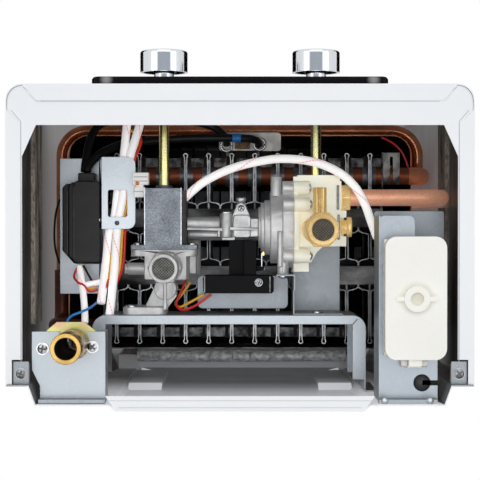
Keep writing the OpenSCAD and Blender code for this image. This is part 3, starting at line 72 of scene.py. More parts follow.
def makeBlotchGroup():
    # two colours mixed by soft clouds with a fine grain over them
    group, entry, leave = newGroup(
        "blotch",
        [
            ("Base", "NodeSocketColor", (0.5, 0.5, 0.5, 1)),
            ("Tint", "NodeSocketColor", (0.4, 0.4, 0.4, 1)),
            ("Scale", "NodeSocketFloat", 60.0),
            ("Amount", "NodeSocketFloat", 0.5),
            ("Grain", "NodeSocketFloat", 0.06),
            ("Stretch", "NodeSocketVector", (1.0, 1.0, 1.0)),
        ],
        [("Color", "NodeSocketColor"), ("Mask", "NodeSocketFloat"), ("Fine", "NodeSocketFloat")],
    )
    coords = addNode(group, "ShaderNodeTexCoord")
    stretched = addNode(group, "ShaderNodeVectorMath", operation="MULTIPLY")
    cloud = addNode(group, "ShaderNodeTexNoise", {"Detail": 4.0})
    fine = addNode(group, "ShaderNodeTexNoise", {"Detail": 3.0})
    fineScale = addNode(group, "ShaderNodeMath", {1: 14.0}, operation="MULTIPLY")
    ramp = addNode(group, "ShaderNodeMapRange", {"From Min": 0.38, "From Max": 0.66})
    strength = addNode(group, "ShaderNodeMath", operation="MULTIPLY")
    mix = addNode(group, "ShaderNodeMix", data_type="RGBA")
    speck = addNode(group, "ShaderNodeMapRange", {"From Min": 0.3, "From Max": 0.7, "To Min": 1.0})
    speckLow = addNode(group, "ShaderNodeMath", {0: 1.0}, operation="SUBTRACT")
    shade = addNode(group, "ShaderNodeMix", {"Factor": 1.0}, data_type="RGBA", blend_type="MULTIPLY")
    join(group, coords, "Object", stretched, 0)
    join(group, entry, "Stretch", stretched, 1)
    join(group, stretched, 0, cloud, "Vector")
    join(group, stretched, 0, fine, "Vector")
    join(group, entry, "Scale", cloud, "Scale")
    join(group, entry, "Scale", fineScale, 0)
    join(group, fineScale, 0, fine, "Scale")
    join(group, cloud, "Fac", ramp, "Value")
    join(group, ramp, "Result", strength, 0)
    join(group, entry, "Amount", strength, 1)
    join(group, strength, 0, mix, "Factor")
    join(group, entry, "Base", mix, "A")
    join(group, entry, "Tint", mix, "B")
    join(group, entry, "Grain", speckLow, 1)
    join(group, fine, "Fac", speck, "Value")
    join(group, speckLow, 0, speck, "To Max")
    join(group, mix, "Result", shade, "A")
    join(group, speck, "Result", shade, "B")
    join(group, shade, "Result", leave, "Color")
    join(group, ramp, "Result", leave, "Mask")
    join(group, fine, "Fac", leave, "Fine")
    return group


def makeSpangleGroup():
    # crystal patches of a galvanised sheet
    group, entry, leave = newGroup(
        "spangle",
        [
            ("Base", "NodeSocketColor", (0.6, 0.65, 0.7, 1)),
            ("Contrast", "NodeSocketFloat", 0.2),
            ("Scale", "NodeSocketFloat", 120.0),
        ],
        [("Color", "NodeSocketColor"), ("Mask", "NodeSocketFloat")],
    )
    coords = addNode(group, "ShaderNodeTexCoord")
    wobble = addNode(group, "ShaderNodeTexNoise", {"Scale": 90.0})
    wobbleMix = addNode(group, "ShaderNodeMix", {"Factor": 0.012}, data_type="RGBA",
                        blend_type="LINEAR_LIGHT")
    cells = addNode(group, "ShaderNodeTexVoronoi")
    low = addNode(group, "ShaderNodeMath", {0: 1.0}, operation="SUBTRACT")
    tone = addNode(group, "ShaderNodeMapRange", {"To Max": 1.06})
    grey = addNode(group, "ShaderNodeRGBToBW")
    shade = addNode(group, "ShaderNodeMix", {"Factor": 1.0}, data_type="RGBA", blend_type="MULTIPLY")
    join(group, coords, "Object", wobble, "Vector")
    join(group, coords, "Object", wobbleMix, "A")
    join(group, wobble, "Color", wobbleMix, "B")
    join(group, wobbleMix, "Result", cells, "Vector")
    join(group, entry, "Scale", cells, "Scale")
    join(group, cells, "Color", grey, "Color")
    join(group, grey, "Val", tone, "Value")
    join(group, entry, "Contrast", low, 1)
    join(group, low, 0, tone, "To Min")
    join(group, entry, "Base", shade, "A")
    join(group, tone, "Result", shade, "B")
    join(group, shade, "Result", leave, "Color")
    join(group, grey, "Val", leave, "Mask")
    return group


def makeTracerGroup():
    # woven sleeve with a broken coloured thread that winds round it, on the tube's own map
    group, entry, leave = newGroup(
        "tracer",
        [
            ("Cloth", "NodeSocketColor", (0.8, 0.8, 0.8, 1)),
            ("Thread", "NodeSocketColor", (0.8, 0.3, 0.35, 1)),
            ("Turns", "NodeSocketFloat", 22.0),
        ],
        [("Color", "NodeSocketColor"), ("Weave", "NodeSocketFloat")],
    )
    coords = addNode(group, "ShaderNodeTexCoord")
    parts = addNode(group, "ShaderNodeSeparateXYZ")
    wind = addNode(group, "ShaderNodeMath", operation="MULTIPLY")
    around = addNode(group, "ShaderNodeMath", operation="ADD")
    turn = addNode(group, "ShaderNodeMath", operation="FRACT")
    centred = addNode(group, "ShaderNodeMath", {1: 0.5}, operation="SUBTRACT")
    offset = addNode(group, "ShaderNodeMath", operation="ABSOLUTE")
    line = addNode(group, "ShaderNodeMapRange",
                   {"From Min": 0.012, "From Max": 0.034, "To Min": 1.0, "To Max": 0.0})
    breaks = addNode(group, "ShaderNodeMath", {1: 2600.0}, operation="MULTIPLY")
    dash = addNode(group, "ShaderNodeMath", operation="SINE")
    dashCut = addNode(group, "ShaderNodeMapRange", {"From Min": -1.4, "From Max": -0.2})
    mask = addNode(group, "ShaderNodeMath", operation="MULTIPLY")
    mix = addNode(group, "ShaderNodeMix", data_type="RGBA")
    weave = addNode(group, "ShaderNodeTexNoise", {"Scale": 1800.0})
    join(group, coords, "UV", parts, 0)
    join(group, parts, "X", wind, 0)
    join(group, entry, "Turns", wind, 1)
    join(group, wind, 0, around, 0)
    join(group, parts, "Y", around, 1)
    join(group, around, 0, turn, 0)
    join(group, turn, 0, centred, 0)
    join(group, centred, 0, offset, 0)
    join(group, offset, 0, line, "Value")
    join(group, parts, "X", breaks, 0)
    join(group, breaks, 0, dash, 0)
    join(group, dash, 0, dashCut, "Value")
    join(group, line, "Result", mask, 0)
    join(group, dashCut, "Result", mask, 1)
    join(group, mask, 0, mix, "Factor")
    join(group, entry, "Cloth", mix, "A")
    join(group, entry, "Thread", mix, "B")
    join(group, coords, "Object", weave, "Vector")
    join(group, mix, "Result", leave, "Color")
    join(group, weave, "Fac", leave, "Weave")
    return group


def makeGauzeGroup():
    # two sets of fine wires crossing in the plane of a screen
    group, entry, leave = newGroup(
        "gauze",
        [
            ("Wire", "NodeSocketColor", (0.5, 0.5, 0.45, 1)),
            ("Gap", "NodeSocketColor", (0.03, 0.03, 0.03, 1)),
            ("Count", "NodeSocketFloat", 900.0),
        ],
        [("Color", "NodeSocketColor"), ("Mask", "NodeSocketFloat")],
    )
    coords = addNode(group, "ShaderNodeTexCoord")
    parts = addNode(group, "ShaderNodeSeparateXYZ")
    join(group, coords, "Object", parts, 0)
    waves = []
    for operation in ("ADD", "SUBTRACT"):
        slant = addNode(group, "ShaderNodeMath", operation=operation)
        count = addNode(group, "ShaderNodeMath", operation="MULTIPLY")
        wave = addNode(group, "ShaderNodeMath", operation="SINE")
        join(group, parts, "X", slant, 0)
        join(group, parts, "Y", slant, 1)
        join(group, slant, 0, count, 0)
        join(group, entry, "Count", count, 1)
        join(group, count, 0, wave, 0)
        waves.append(wave)
    top = addNode(group, "ShaderNodeMath", operation="MAXIMUM")
    wires = addNode(group, "ShaderNodeMapRange", {"From Min": 0.2, "From Max": 0.9})
    patch = addNode(group, "ShaderNodeTexNoise", {"Scale": 260.0})
    uneven = addNode(group, "ShaderNodeMath", operation="MULTIPLY")
    mix = addNode(group, "ShaderNodeMix", data_type="RGBA")
    join(group, waves[0], 0, top, 0)
    join(group, waves[1], 0, top, 1)
    join(group, top, 0, wires, "Value")
    join(group, coords, "Object", patch, "Vector")
    join(group, wires, "Result", uneven, 0)
    join(group, patch, "Fac", uneven, 1)
    join(group, uneven, 0, mix, "Factor")
    join(group, entry, "Gap", mix, "A")
    join(group, entry, "Wire", mix, "B")
    join(group, mix, "Result", leave, "Color")
    join(group, wires, "Result", leave, "Mask")
    return group


def makeDepthGroup():
    # how far up inside the casing a point lies, 0 at the near height and 1 at the far one; it steers the
    # shade and light painted by height
    group, entry, leave = newGroup(
        "depth",
        [("Near", "NodeSocketFloat", 0.0), ("Far", "NodeSocketFloat", 0.1)],
        [("Value", "NodeSocketFloat")],
    )
    coords = addNode(group, "ShaderNodeTexCoord")
    parts = addNode(group, "ShaderNodeSeparateXYZ")
    ramp = addNode(group, "ShaderNodeMapRange", interpolation_type="SMOOTHSTEP")
    join(group, coords, "Object", parts, 0)
    join(group, parts, "Z", ramp, "Value")
    join(group, entry, "Near", ramp, "From Min")
    join(group, entry, "Far", ramp, "From Max")
    join(group, ramp, "Result", leave, "Value")
    return group


def makeRingGroup():
    # soft shade around a point of the XY plane, 1 within the inner radius and 0 past the outer one
    group, entry, leave = newGroup(
        "ring",
        [
            ("Centre", "NodeSocketVector", (0.0, 0.0, 0.0)),
            ("Inner", "NodeSocketFloat", 0.01),
            ("Outer", "NodeSocketFloat", 0.02),
        ],
        [("Value", "NodeSocketFloat")],
    )
    coords = addNode(group, "ShaderNodeTexCoord")
    flat = addNode(group, "ShaderNodeVectorMath", {1: (1.0, 1.0, 0.0)}, operation="MULTIPLY")
    away = addNode(group, "ShaderNodeVectorMath", operation="DISTANCE")
    ramp = addNode(group, "ShaderNodeMapRange", {"To Min": 1.0, "To Max": 0.0},
                   interpolation_type="SMOOTHSTEP")
    join(group, coords, "Object", flat, 0)
    join(group, flat, 0, away, 0)
    join(group, entry, "Centre", away, 1)
    join(group, away, "Value", ramp, "Value")
    join(group, entry, "Inner", ramp, "From Min")
    join(group, entry, "Outer", ramp, "From Max")
    join(group, ramp, "Result", leave, "Value")
    return group


blotchGroup = makeBlotchGroup()
spangleGroup = makeSpangleGroup()
tracerGroup = makeTracerGroup()
gauzeGroup = makeGauzeGroup()
depthGroup = makeDepthGroup()
ringGroup = makeRingGroup()
finishes = {}


def newFinish(name):
    material = bpy.data.materials.new(name)
    material.use_nodes = True
    finishes[name] = material
    tree = material.node_tree
    return tree, tree.nodes["Principled BSDF"]


def placeGroup(tree, group, **values):
    node = tree.nodes.new("ShaderNodeGroup")
    node.node_tree = group
    setInputs(node, values)
    return node


def roughnessFrom(tree, source, shader, low, high):
    spread = addNode(tree, "ShaderNodeMapRange", {"To Min": low, "To Max": high})
    tree.links.new(source, spread.inputs["Value"])
    join(tree, spread, "Result", shader, "Roughness")


def bumpFrom(tree, source, shader, strength, distance):
    bump = addNode(tree, "ShaderNodeBump", {"Strength": strength, "Distance": distance})
    tree.links.new(source, bump.inputs["Height"])
    join(tree, bump, "Normal", shader, "Normal")


def blotchFinish(name, base, tint, scale=60, amount=0.5, grain=0.06, metallic=0.0, rough=(0.4, 0.5),
                 stretch=(1, 1, 1), bump=0.0, bumpDepth=0.0003, coat=0.0, subsurface=0.0, specular=0.5,
                 paintedLight=0.0):
    tree, shader = newFinish(name)
    cloud = placeGroup(tree, blotchGroup, Base=(*base, 1), Tint=(*tint, 1), Scale=scale, Amount=amount,
                       Grain=grain, Stretch=stretch)
    join(tree, cloud, "Color", shader, "Base Color")
    setInputs(shader, {
        "Metallic": metallic, "Coat Weight": coat, "Coat Roughness": 0.12,
        "Subsurface Weight": subsurface, "Subsurface Radius": (0.006, 0.004, 0.0025),
        "Specular IOR Level": specular,
    })
    roughnessFrom(tree, cloud.outputs["Mask"], shader, *rough)
    # emission on a part that is no lamp: painted light
    if paintedLight:
        join(tree, cloud, "Color", shader, "Emission Color")
        shader.inputs["Emission Strength"].default_value = paintedLight
    if bump:
        bumpFrom(tree, cloud.outputs["Fine"], shader, bump, bumpDepth)


def depthShadedFinish(name, near, far, heights, scale=60, amount=0.5, grain=0.06, metallic=0.0, rough=(0.4, 0.5),
               paintedLight=None, specular=0.5, stretch=(1, 1, 1), tintShare=0.8):
    # a finish that goes from one colour to another with the height inside the casing: painted shade and
    # painted light by height, its emission being painted light
    tree, shader = newFinish(name)
    tint = [tintShare * part for part in near]
    cloud = placeGroup(tree, blotchGroup, Base=(*near, 1), Tint=(*tint, 1), Scale=scale, Amount=amount,
                       Grain=grain, Stretch=stretch)
    depth = placeGroup(tree, depthGroup, Near=heights[0], Far=heights[1])
    colour = addNode(tree, "ShaderNodeMix", {"B": (*far, 1)}, data_type="RGBA", blend_type="MIX")
    join(tree, depth, "Value", colour, "Factor")
    join(tree, cloud, "Color", colour, "A")
    join(tree, colour, "Result", shader, "Base Color")
    if paintedLight:
        lit = addNode(tree, "ShaderNodeMix", {"A": (*paintedLight[0], 1), "B": (*paintedLight[1], 1)}, data_type="RGBA",
                      blend_type="MIX")
        join(tree, depth, "Value", lit, "Factor")
        join(tree, lit, "Result", shader, "Emission Color")
        shader.inputs["Emission Strength"].default_value = 1.0
    setInputs(shader, {"Metallic": metallic, "Specular IOR Level": specular})
    roughnessFrom(tree, cloud.outputs["Mask"], shader, *rough)


def spangleFinish(name, base, contrast, scale, metallic, rough):
    tree, shader = newFinish(name)
    cells = placeGroup(tree, spangleGroup, Base=(*base, 1), Contrast=contrast, Scale=scale)
    join(tree, cells, "Color", shader, "Base Color")
    shader.inputs["Metallic"].default_value = metallic
    roughnessFrom(tree, cells.outputs["Mask"], shader, *rough)


def sleeveFinish(name, cloth, thread, turns, paintedLight):
    tree, shader = newFinish(name)
    woven = placeGroup(tree, tracerGroup, Cloth=(*cloth, 1), Thread=(*thread, 1), Turns=turns)
    join(tree, woven, "Color", shader, "Base Color")
    # emission of the cloth colour: painted light that keeps the sleeve evenly white
    join(tree, woven, "Color", shader, "Emission Color")
    setInputs(shader, {"Emission Strength": paintedLight, "Roughness": 0.7})
    bumpFrom(tree, woven.outputs["Weave"], shader, 0.25, 0.0003)


def gauzeFinish(name, wire, gap, count):
    tree, shader = newFinish(name)
    screen = placeGroup(tree, gauzeGroup, Wire=(*wire, 1), Gap=(*gap, 1), Count=count)
    join(tree, screen, "Color", shader, "Base Color")
    setInputs(shader, {"Metallic": 0.6, "Roughness": 0.4})
    bumpFrom(tree, screen.outputs["Mask"], shader, 0.6, 0.0003)


def paintedSpotFinish(name, base, shade, spots, rough, specular=0.5, subsurface=0.0):
    # a plain moulding with soft painted spots, highlights on the control panel and shade on the battery
    # cover: centre, inner and outer radius, weight
    tree, shader = newFinish(name)
    tint = [0.97 * part for part in base]
    cloud = placeGroup(tree, blotchGroup, Base=(*base, 1), Tint=(*tint, 1), Scale=30.0, Amount=0.5,
                       Grain=0.02)
    last = cloud.outputs["Color"]
    for centre, inner, outer, amount in spots:
        ring = placeGroup(tree, ringGroup, Centre=centre, Inner=inner, Outer=outer)
        weight = addNode(tree, "ShaderNodeMath", {1: amount}, operation="MULTIPLY")
        blend = addNode(tree, "ShaderNodeMix", {"B": (*shade, 1)}, data_type="RGBA", blend_type="MIX")
        join(tree, ring, "Value", weight, 0)
        join(tree, weight, 0, blend, "Factor")
        tree.links.new(last, blend.inputs["A"])
        last = blend.outputs["Result"]
    tree.links.new(last, shader.inputs["Base Color"])
    setInputs(shader, {
        "Subsurface Weight": subsurface, "Subsurface Radius": (0.006, 0.004, 0.0025),
        "Specular IOR Level": specular,
    })
    roughnessFrom(tree, cloud.outputs["Mask"], shader, *rough)


gripCentre = (0.1233, -0.0796, 0.0)
gripLeft = (0.1118, -0.0796, 0.0)
gripRight = (0.1348, -0.0796, 0.0)
blotchFinish("enamel", (0.84, 0.86, 0.89), (0.82, 0.845, 0.88), scale=8, grain=0.01, rough=(0.28, 0.34),
             coat=0.2)
wallPaint = dict(scale=36, amount=1.0, grain=0.2, rough=(0.4, 0.55), stretch=(1, 0.25, 1), tintShare=0.3,
                 specular=0.2)
# inner walls of the cover: painted shade near the opening and painted light deeper up; innerShade is the
# right wall's darker copy
depthShadedFinish("innerWallLightShade", (0.14, 0.135, 0.13), (0.50, 0.50, 0.51), (0.10, 0.28),
           paintedLight=((0, 0, 0), (0.14, 0.142, 0.144)), **wallPaint)
depthShadedFinish("innerShade", (0.14, 0.135, 0.13), (0.48, 0.48, 0.49), (0.10, 0.18),
           paintedLight=((0, 0, 0), (0.064, 0.065, 0.067)), **wallPaint)
# back plate inner face: painted light near the opening, painted shade higher up
depthShadedFinish("backPlateLightShade", (0.84, 0.86, 0.89), (0.40, 0.412, 0.435), (0.02, 0.19), scale=12, amount=0.9,
           grain=0.02, rough=(0.28, 0.34), stretch=(0.2, 1, 5), tintShare=0.7,
           paintedLight=((0.34, 0.34, 0.355), (0, 0, 0)))
# pressed feet of the back plate: painted highlight
blotchFinish("footHighlight", (0.84, 0.86, 0.89), (0.82, 0.84, 0.87), scale=20, grain=0.02, rough=(0.3, 0.4),
             paintedLight=0.34)
# painted shade on the back plate's side walls and the left end of the valve bridge
blotchFinish("paintedShade", (0.22, 0.222, 0.23), (0.11, 0.112, 0.116), scale=50, amount=0.9, grain=0.1,
             rough=(0.4, 0.5), specular=0.2)
# control panel black, with painted highlights at both ends
paintedSpotFinish("panelBlackHighlights", (0.004, 0.004, 0.005), (0.34, 0.335, 0.34),
           (((-0.0992, -0.2385, 0.0), 0.0008, 0.006, 0.8), ((0.0992, -0.2385, 0.0), 0.0008, 0.006, 0.8)),
           (0.2, 0.3), specular=0.05)
blotchFinish("flagBlack", (0.01, 0.01, 0.01), (0.014, 0.014, 0.014), scale=4, rough=(0.8, 0.9),
             specular=0.0)
blotchFinish("flagGrey", (0.35, 0.38, 0.42), (0.33, 0.36, 0.40), scale=4, rough=(0.8, 0.9), specular=0.0,
             paintedLight=1.0)
blotchFinish("knobSatin", (0.70, 0.72, 0.75), (0.64, 0.66, 0.69), scale=160, grain=0.03, metallic=1.0,
             rough=(0.09, 0.12), stretch=(1, 0.1, 1))
blotchFinish("zincYellow", (0.80, 0.70, 0.30), (0.64, 0.66, 0.38), scale=90, amount=0.8, metallic=1.0,
             rough=(0.2, 0.3))
blotchFinish("screwSteel", (0.56, 0.575, 0.60), (0.42, 0.425, 0.44), scale=220, metallic=1.0,
             rough=(0.22, 0.34))
blotchFinish("screwGrey", (0.30, 0.31, 0.325), (0.20, 0.205, 0.215), scale=260, metallic=0.9,
             rough=(0.3, 0.44))
blotchFinish("recessShade", (0.13, 0.132, 0.137), (0.20, 0.202, 0.207), scale=300, rough=(0.5, 0.6),
             specular=0.2)
# galvanised sheet and its copies: painted shade on the near, fold and darker copies, painted light on the
# deep igniter bracket
spangleFinish("galvanised", (0.385, 0.42, 0.455), 0.14, 160, 0.75, (0.34, 0.46))
spangleFinish("galvanisedShadedNear", (0.315, 0.35, 0.385), 0.14, 160, 0.75, (0.34, 0.46))
spangleFinish("galvanisedLitDeep", (0.54, 0.585, 0.63), 0.12, 160, 0.75, (0.34, 0.46))
spangleFinish("zincFoldShade", (0.31, 0.34, 0.37), 0.2, 220, 0.6, (0.4, 0.5))
spangleFinish("galvanisedShaded", (0.27, 0.295, 0.32), 0.2, 220, 0.75, (0.36, 0.5))
blotchFinish("electrodePlate", (0.50, 0.495, 0.48), (0.34, 0.33, 0.31), scale=90, amount=0.8, grain=0.1,
             metallic=0.8, rough=(0.32, 0.46))
blotchFinish("solenoidZinc", (0.22, 0.24, 0.27), (0.18, 0.196, 0.22), scale=70, amount=0.3, grain=0.55,
             metallic=0.85, rough=(0.3, 0.5), bump=0.4)
felt = dict(scale=50, amount=1.0, grain=0.7, rough=(0.85, 0.95), stretch=(1.0, 0.3, 1.7), bump=0.8,
            bumpDepth=0.001, specular=0.2)
# fibre pads: their emission is painted light; fibreShade is the right pad's shaded copy
blotchFinish("fibre", (0.68, 0.60, 0.525), (0.09, 0.075, 0.065), paintedLight=0.1, **felt)
blotchFinish("fibreShade", (0.36, 0.32, 0.28), (0.05, 0.042, 0.037), paintedLight=0.06, **felt)
# cold pipe copper: its emission is painted light
blotchFinish("copper", (0.98, 0.50, 0.33), (0.86, 0.37, 0.22), scale=70, amount=0.6, grain=0.3,
             metallic=0.4, rough=(0.34, 0.5), bump=0.12, paintedLight=0.24)
blotchFinish("copperTinted", (0.66, 0.27, 0.14), (0.30, 0.10, 0.05), scale=45, amount=0.8, grain=0.15,
             metallic=0.85, rough=(0.22, 0.34))
blotchFinish("copperDull", (0.40, 0.12, 0.058), (0.22, 0.06, 0.03), amount=0.7, grain=0.15, metallic=0.7,
             rough=(0.42, 0.56))
# painted highlight on the elbow of the cross pipe
blotchFinish("copperElbowHighlight", (0.78, 0.33, 0.18), (0.50, 0.18, 0.09), amount=0.7, grain=0.15, metallic=0.6,
             rough=(0.3, 0.42), paintedLight=0.03)
# hot pipe copper darkened by painted shade
blotchFinish("copperShaded", (0.30, 0.125, 0.085), (0.12, 0.05, 0.035), scale=50, amount=0.8, grain=0.1,
             metallic=0.8, rough=(0.3, 0.45))
# soot on the exchanger, flue hood and chamber; also the painted shade between the comb teeth
blotchFinish("sootAndGapShade", (0.03, 0.022, 0.02), (0.012, 0.011, 0.01), scale=30, rough=(0.7, 0.8),
             specular=0.15)
# burner bars: painted shade that takes them to near black with height
depthShadedFinish("burnerSteel", (0.50, 0.52, 0.54), (0.012, 0.012, 0.013), (0.1856, 0.1885), scale=120,
           amount=0.8, grain=0.12, metallic=0.9, rough=(0.3, 0.45))
blotchFinish("collarSteel", (0.34, 0.345, 0.36), (0.12, 0.122, 0.13), scale=160, amount=0.9, grain=0.2,
             metallic=0.8, rough=(0.3, 0.5))
blotchFinish("darkSteel", (0.21, 0.212, 0.215), (0.03, 0.03, 0.032), scale=170, amount=1.0, grain=0.6,
             metallic=0.6, rough=(0.35, 0.55), bump=0.3)
# rear bracket: its emission is painted light
blotchFinish("bracketZinc", (0.56, 0.565, 0.57), (0.22, 0.223, 0.23), scale=260, amount=1.0, grain=0.6,
             metallic=0.2, rough=(0.36, 0.5), bump=0.3, paintedLight=0.16)
casting = dict(scale=110, amount=0.6, grain=0.18, rough=(0.34, 0.48), bump=0.35)
# castings: the emission on the valve body and the valve cover is painted light
blotchFinish("castAlloy", (0.46, 0.46, 0.462), (0.33, 0.33, 0.332), metallic=0.5, paintedLight=0.1, **casting)
blotchFinish("castLink", (0.53, 0.532, 0.536), (0.36, 0.362, 0.366), metallic=0.7, **casting)
blotchFinish("castBright", (0.58, 0.582, 0.588), (0.48, 0.482, 0.488), scale=110, amount=0.5, grain=0.14,
             metallic=0.5, rough=(0.34, 0.46), bump=0.3, paintedLight=0.08)
blotchFinish("rail", (0.26, 0.262, 0.265), (0.012, 0.012, 0.013), scale=45, amount=1.0, grain=0.25,
             metallic=0.7, rough=(0.38, 0.55), stretch=(0.5, 1, 1))
gauzeFinish("gauze", (0.27, 0.262, 0.235), (0.02, 0.02, 0.02), 3000.0)
gauzeFinish("gauzeDark", (0.15, 0.13, 0.10), (0.015, 0.014, 0.012), 3000.0)
blotchFinish("boxBlack", (0.013, 0.013, 0.014), (0.024, 0.024, 0.025), scale=90, amount=0.8, grain=0.2,
             rough=(0.32, 0.46), bump=0.12, specular=0.2)
# the solenoid coil's own grey, also used for painted highlights on the igniter box ridges and painted shade
# at the keyhole and a bracket fold
blotchFinish("coilGreyPaintedHighlightShade", (0.075, 0.076, 0.08), (0.04, 0.04, 0.042), scale=120, amount=0.8,
             rough=(0.4, 0.5), specular=0.2)
blotchFinish("blackPlastic", (0.005, 0.005, 0.006), (0.010, 0.010, 0.011), scale=70, rough=(0.36, 0.5),
             bump=0.08, specular=0.05)
# plastics: their emission is painted light
blotchFinish("whitePlastic", (0.88, 0.88, 0.86), (0.82, 0.82, 0.80), rough=(0.35, 0.45),
             paintedLight=0.1)
blotchFinish("creamPlastic", (0.93, 0.92, 0.80), (0.90, 0.88, 0.72), amount=0.8, grain=0.03,
             rough=(0.28, 0.4), subsurface=0.15, paintedLight=0.1)
brassCloud = dict(scale=90, amount=0.7, grain=0.16)
blotchFinish("brass", (0.46, 0.33, 0.15), (0.34, 0.23, 0.09), metallic=0.9, rough=(0.24, 0.38), **brassCloud)
# lit copy of brass: painted light on the inlet's sides, the nut and the drain plug
blotchFinish("brassLit", (0.88, 0.64, 0.28), (0.74, 0.49, 0.17), metallic=0.5, rough=(0.24, 0.38),
             paintedLight=0.24, **brassCloud)
blotchFinish("brassGold", (0.47, 0.31, 0.10), (0.37, 0.23, 0.06), metallic=0.9, rough=(0.22, 0.34),
             **brassCloud)
blotchFinish("flangeZinc", (0.47, 0.48, 0.18), (0.60, 0.37, 0.27), scale=130, amount=1.0, grain=0.1,
             metallic=0.8, rough=(0.34, 0.46))
blotchFinish("clipSteel", (0.26, 0.26, 0.25), (0.12, 0.118, 0.112), scale=180, amount=0.8, grain=0.15,
             metallic=0.8, rough=(0.3, 0.45))
blotchFinish("mica", (0.30, 0.20, 0.09), (0.06, 0.045, 0.03), scale=260, amount=1.0, grain=0.3,
             rough=(0.5, 0.6), specular=0.3)
blotchFinish("dotOrange", (0.85, 0.25, 0.04), (0.80, 0.40, 0.05), scale=300)
# painted shade inside the outlet bore and the keyhole slot
blotchFinish("boreShade", (0.012, 0.011, 0.010), (0.03, 0.026, 0.02), rough=(0.4, 0.5),
             specular=0.1)
blotchFinish("ceramic", (0.80, 0.78, 0.72), (0.7, 0.68, 0.62), rough=(0.2, 0.3))
blotchFinish("leadBlack", (0.008, 0.008, 0.009), (0.014, 0.014, 0.014), rough=(0.35, 0.45),
             specular=0.25)
# battery cover: painted shade round the grip ring and wings, a lit copy on the ring and wings, painted shade
# in the well
paintedSpotFinish("ivory", (0.90, 0.895, 0.845), (0.50, 0.48, 0.38),
           ((gripCentre, 0.0092, 0.0135, 0.42), (gripLeft, 0.0022, 0.0048, 0.3),
            (gripRight, 0.0022, 0.0048, 0.3)),
           (0.36, 0.46), subsurface=0.05)
blotchFinish("ivoryRing", (0.91, 0.905, 0.85), (0.88, 0.87, 0.81), scale=40, grain=0.02,
             rough=(0.36, 0.46), subsurface=0.05)
blotchFinish("ivoryWell", (0.74, 0.72, 0.62), (0.66, 0.64, 0.54), grain=0.02, rough=(0.4, 0.5),
             subsurface=0.05)
blotchFinish("ivoryBox", (0.84, 0.835, 0.77), (0.80, 0.79, 0.72), scale=30, grain=0.02,
             rough=(0.36, 0.46), subsurface=0.08)
blotchFinish("cellJacket", (0.2, 0.2, 0.22), (0.1, 0.1, 0.1), scale=30, rough=(0.3, 0.4))
blotchFinish("cellEnd", (0.62, 0.63, 0.64), (0.50, 0.505, 0.51), scale=200, grain=0.1, metallic=0.9,
             rough=(0.22, 0.34))
sleeveFinish("sleeve", (0.93, 0.915, 0.915), (0.86, 0.33, 0.38), 21.0, 0.37)
blotchFinish("wireRed", (0.68, 0.03, 0.03), (0.55, 0.03, 0.02), rough=(0.3, 0.4))
blotchFinish("wireAmber", (0.84, 0.45, 0.03), (0.75, 0.38, 0.03), rough=(0.3, 0.4))
blotchFinish("wireBlue", (0.03, 0.26, 0.72), (0.03, 0.2, 0.58), rough=(0.3, 0.4))
# painted shade lines in creases, seam gaps and slots
blotchFinish("lipCreaseShade", (0.66, 0.67, 0.70), (0.60, 0.61, 0.64), rough=(0.5, 0.6), specular=0.2)
blotchFinish("gapShadow", (0.50, 0.51, 0.53), (0.40, 0.41, 0.43), scale=80, rough=(0.5, 0.6), specular=0.2)

nodeFinish = {
    "enamel": ["front_cover", "bottom_frame", "back_plate"],
    "panelBlackHighlights": ["control_panel"],
    "knobSatin": ["gas_knob", "water_knob"],
    "zincYellow": ["gas_shaft", "water_shaft", "push_rod"],
    "flangeZinc": ["outlet_flange"],
    "screwSteel": ["valve_screws", "outlet_screws", "switch_lever"],
    "screwGrey": ["casing_screws"],
    "clipSteel": ["pipe_clip", "valve_clips"],
    "galvanised": ["valve_bridge", "outlet_bracket", "flue_hood", "flue_collar"],
    "galvanisedShadedNear": ["battery_bracket"],
    "galvanisedLitDeep": ["igniter_bracket"],
    "galvanisedShaded": ["valve_support", "switch_plate"],
    "electrodePlate": ["electrode_bracket"],
    "solenoidZinc": ["solenoid_frame"],
    "fibre": ["side_pads"],
    "copper": ["cold_pipe"],
    "copperTinted": ["heating_coil", "combustion_chamber"],
    "copperDull": ["cross_pipe"],
    "copperShaded": ["hot_pipe"],
    "sootAndGapShade": ["heat_exchanger"],
    "burnerSteel": ["burner_bars"],
    "darkSteel": ["burner_frame"],
    "bracketZinc": ["rear_bracket"],
    "castAlloy": ["gas_valve_body"],
    "castLink": ["link_housing"],
    "castBright": ["water_valve_cover"],
    "rail": ["gas_manifold"],
    "gauze": ["filter_screens"],
    "boxBlack": ["igniter_box"],
    "blackPlastic": ["microswitch", "switch_box"],
    "coilGreyPaintedHighlightShade": ["solenoid_coil"],
    "whitePlastic": ["solenoid_plug"],
    "creamPlastic": ["water_valve_body"],
    "brass": ["cold_inlet"],
    "brassGold": ["hot_outlet"],
    "brassLit": ["outlet_nut", "drain_plug"],
    "ceramic": ["electrodes"],
    "ivory": ["battery_cover"],
    "ivoryBox": ["battery_box"],
    "cellJacket": ["battery_cells"],
}
for finishName, names in nodeFinish.items():
    for nodeName in names:
        mesh = cadNodes[nodeName].data
        mesh.materials.clear()
        mesh.materials.append(finishes[finishName])


def finishFaces(nodeName, finishName, chosen):
    # a second finish on the faces of one node that the test picks by centre and normal
    mesh = cadNodes[nodeName].data
    mesh.materials.append(finishes[finishName])
    place = len(mesh.materials) - 1
    for face in mesh.polygons:
        if chosen(face.center, face.normal):
            face.material_index = place


coverInside = {"x": 0.1645, "y": -0.2295, "bottom": 0.0005, "top": 0.5595}
collarRow = {"y": -0.1712, "reach": 0.0088, "bottom": 0.1868}
outletCentre = (-0.1184, -0.0466)
gripFace = {"height": -0.0104, "radius": 0.0105, "wing": 0.0155, "wingHalf": 0.0024}


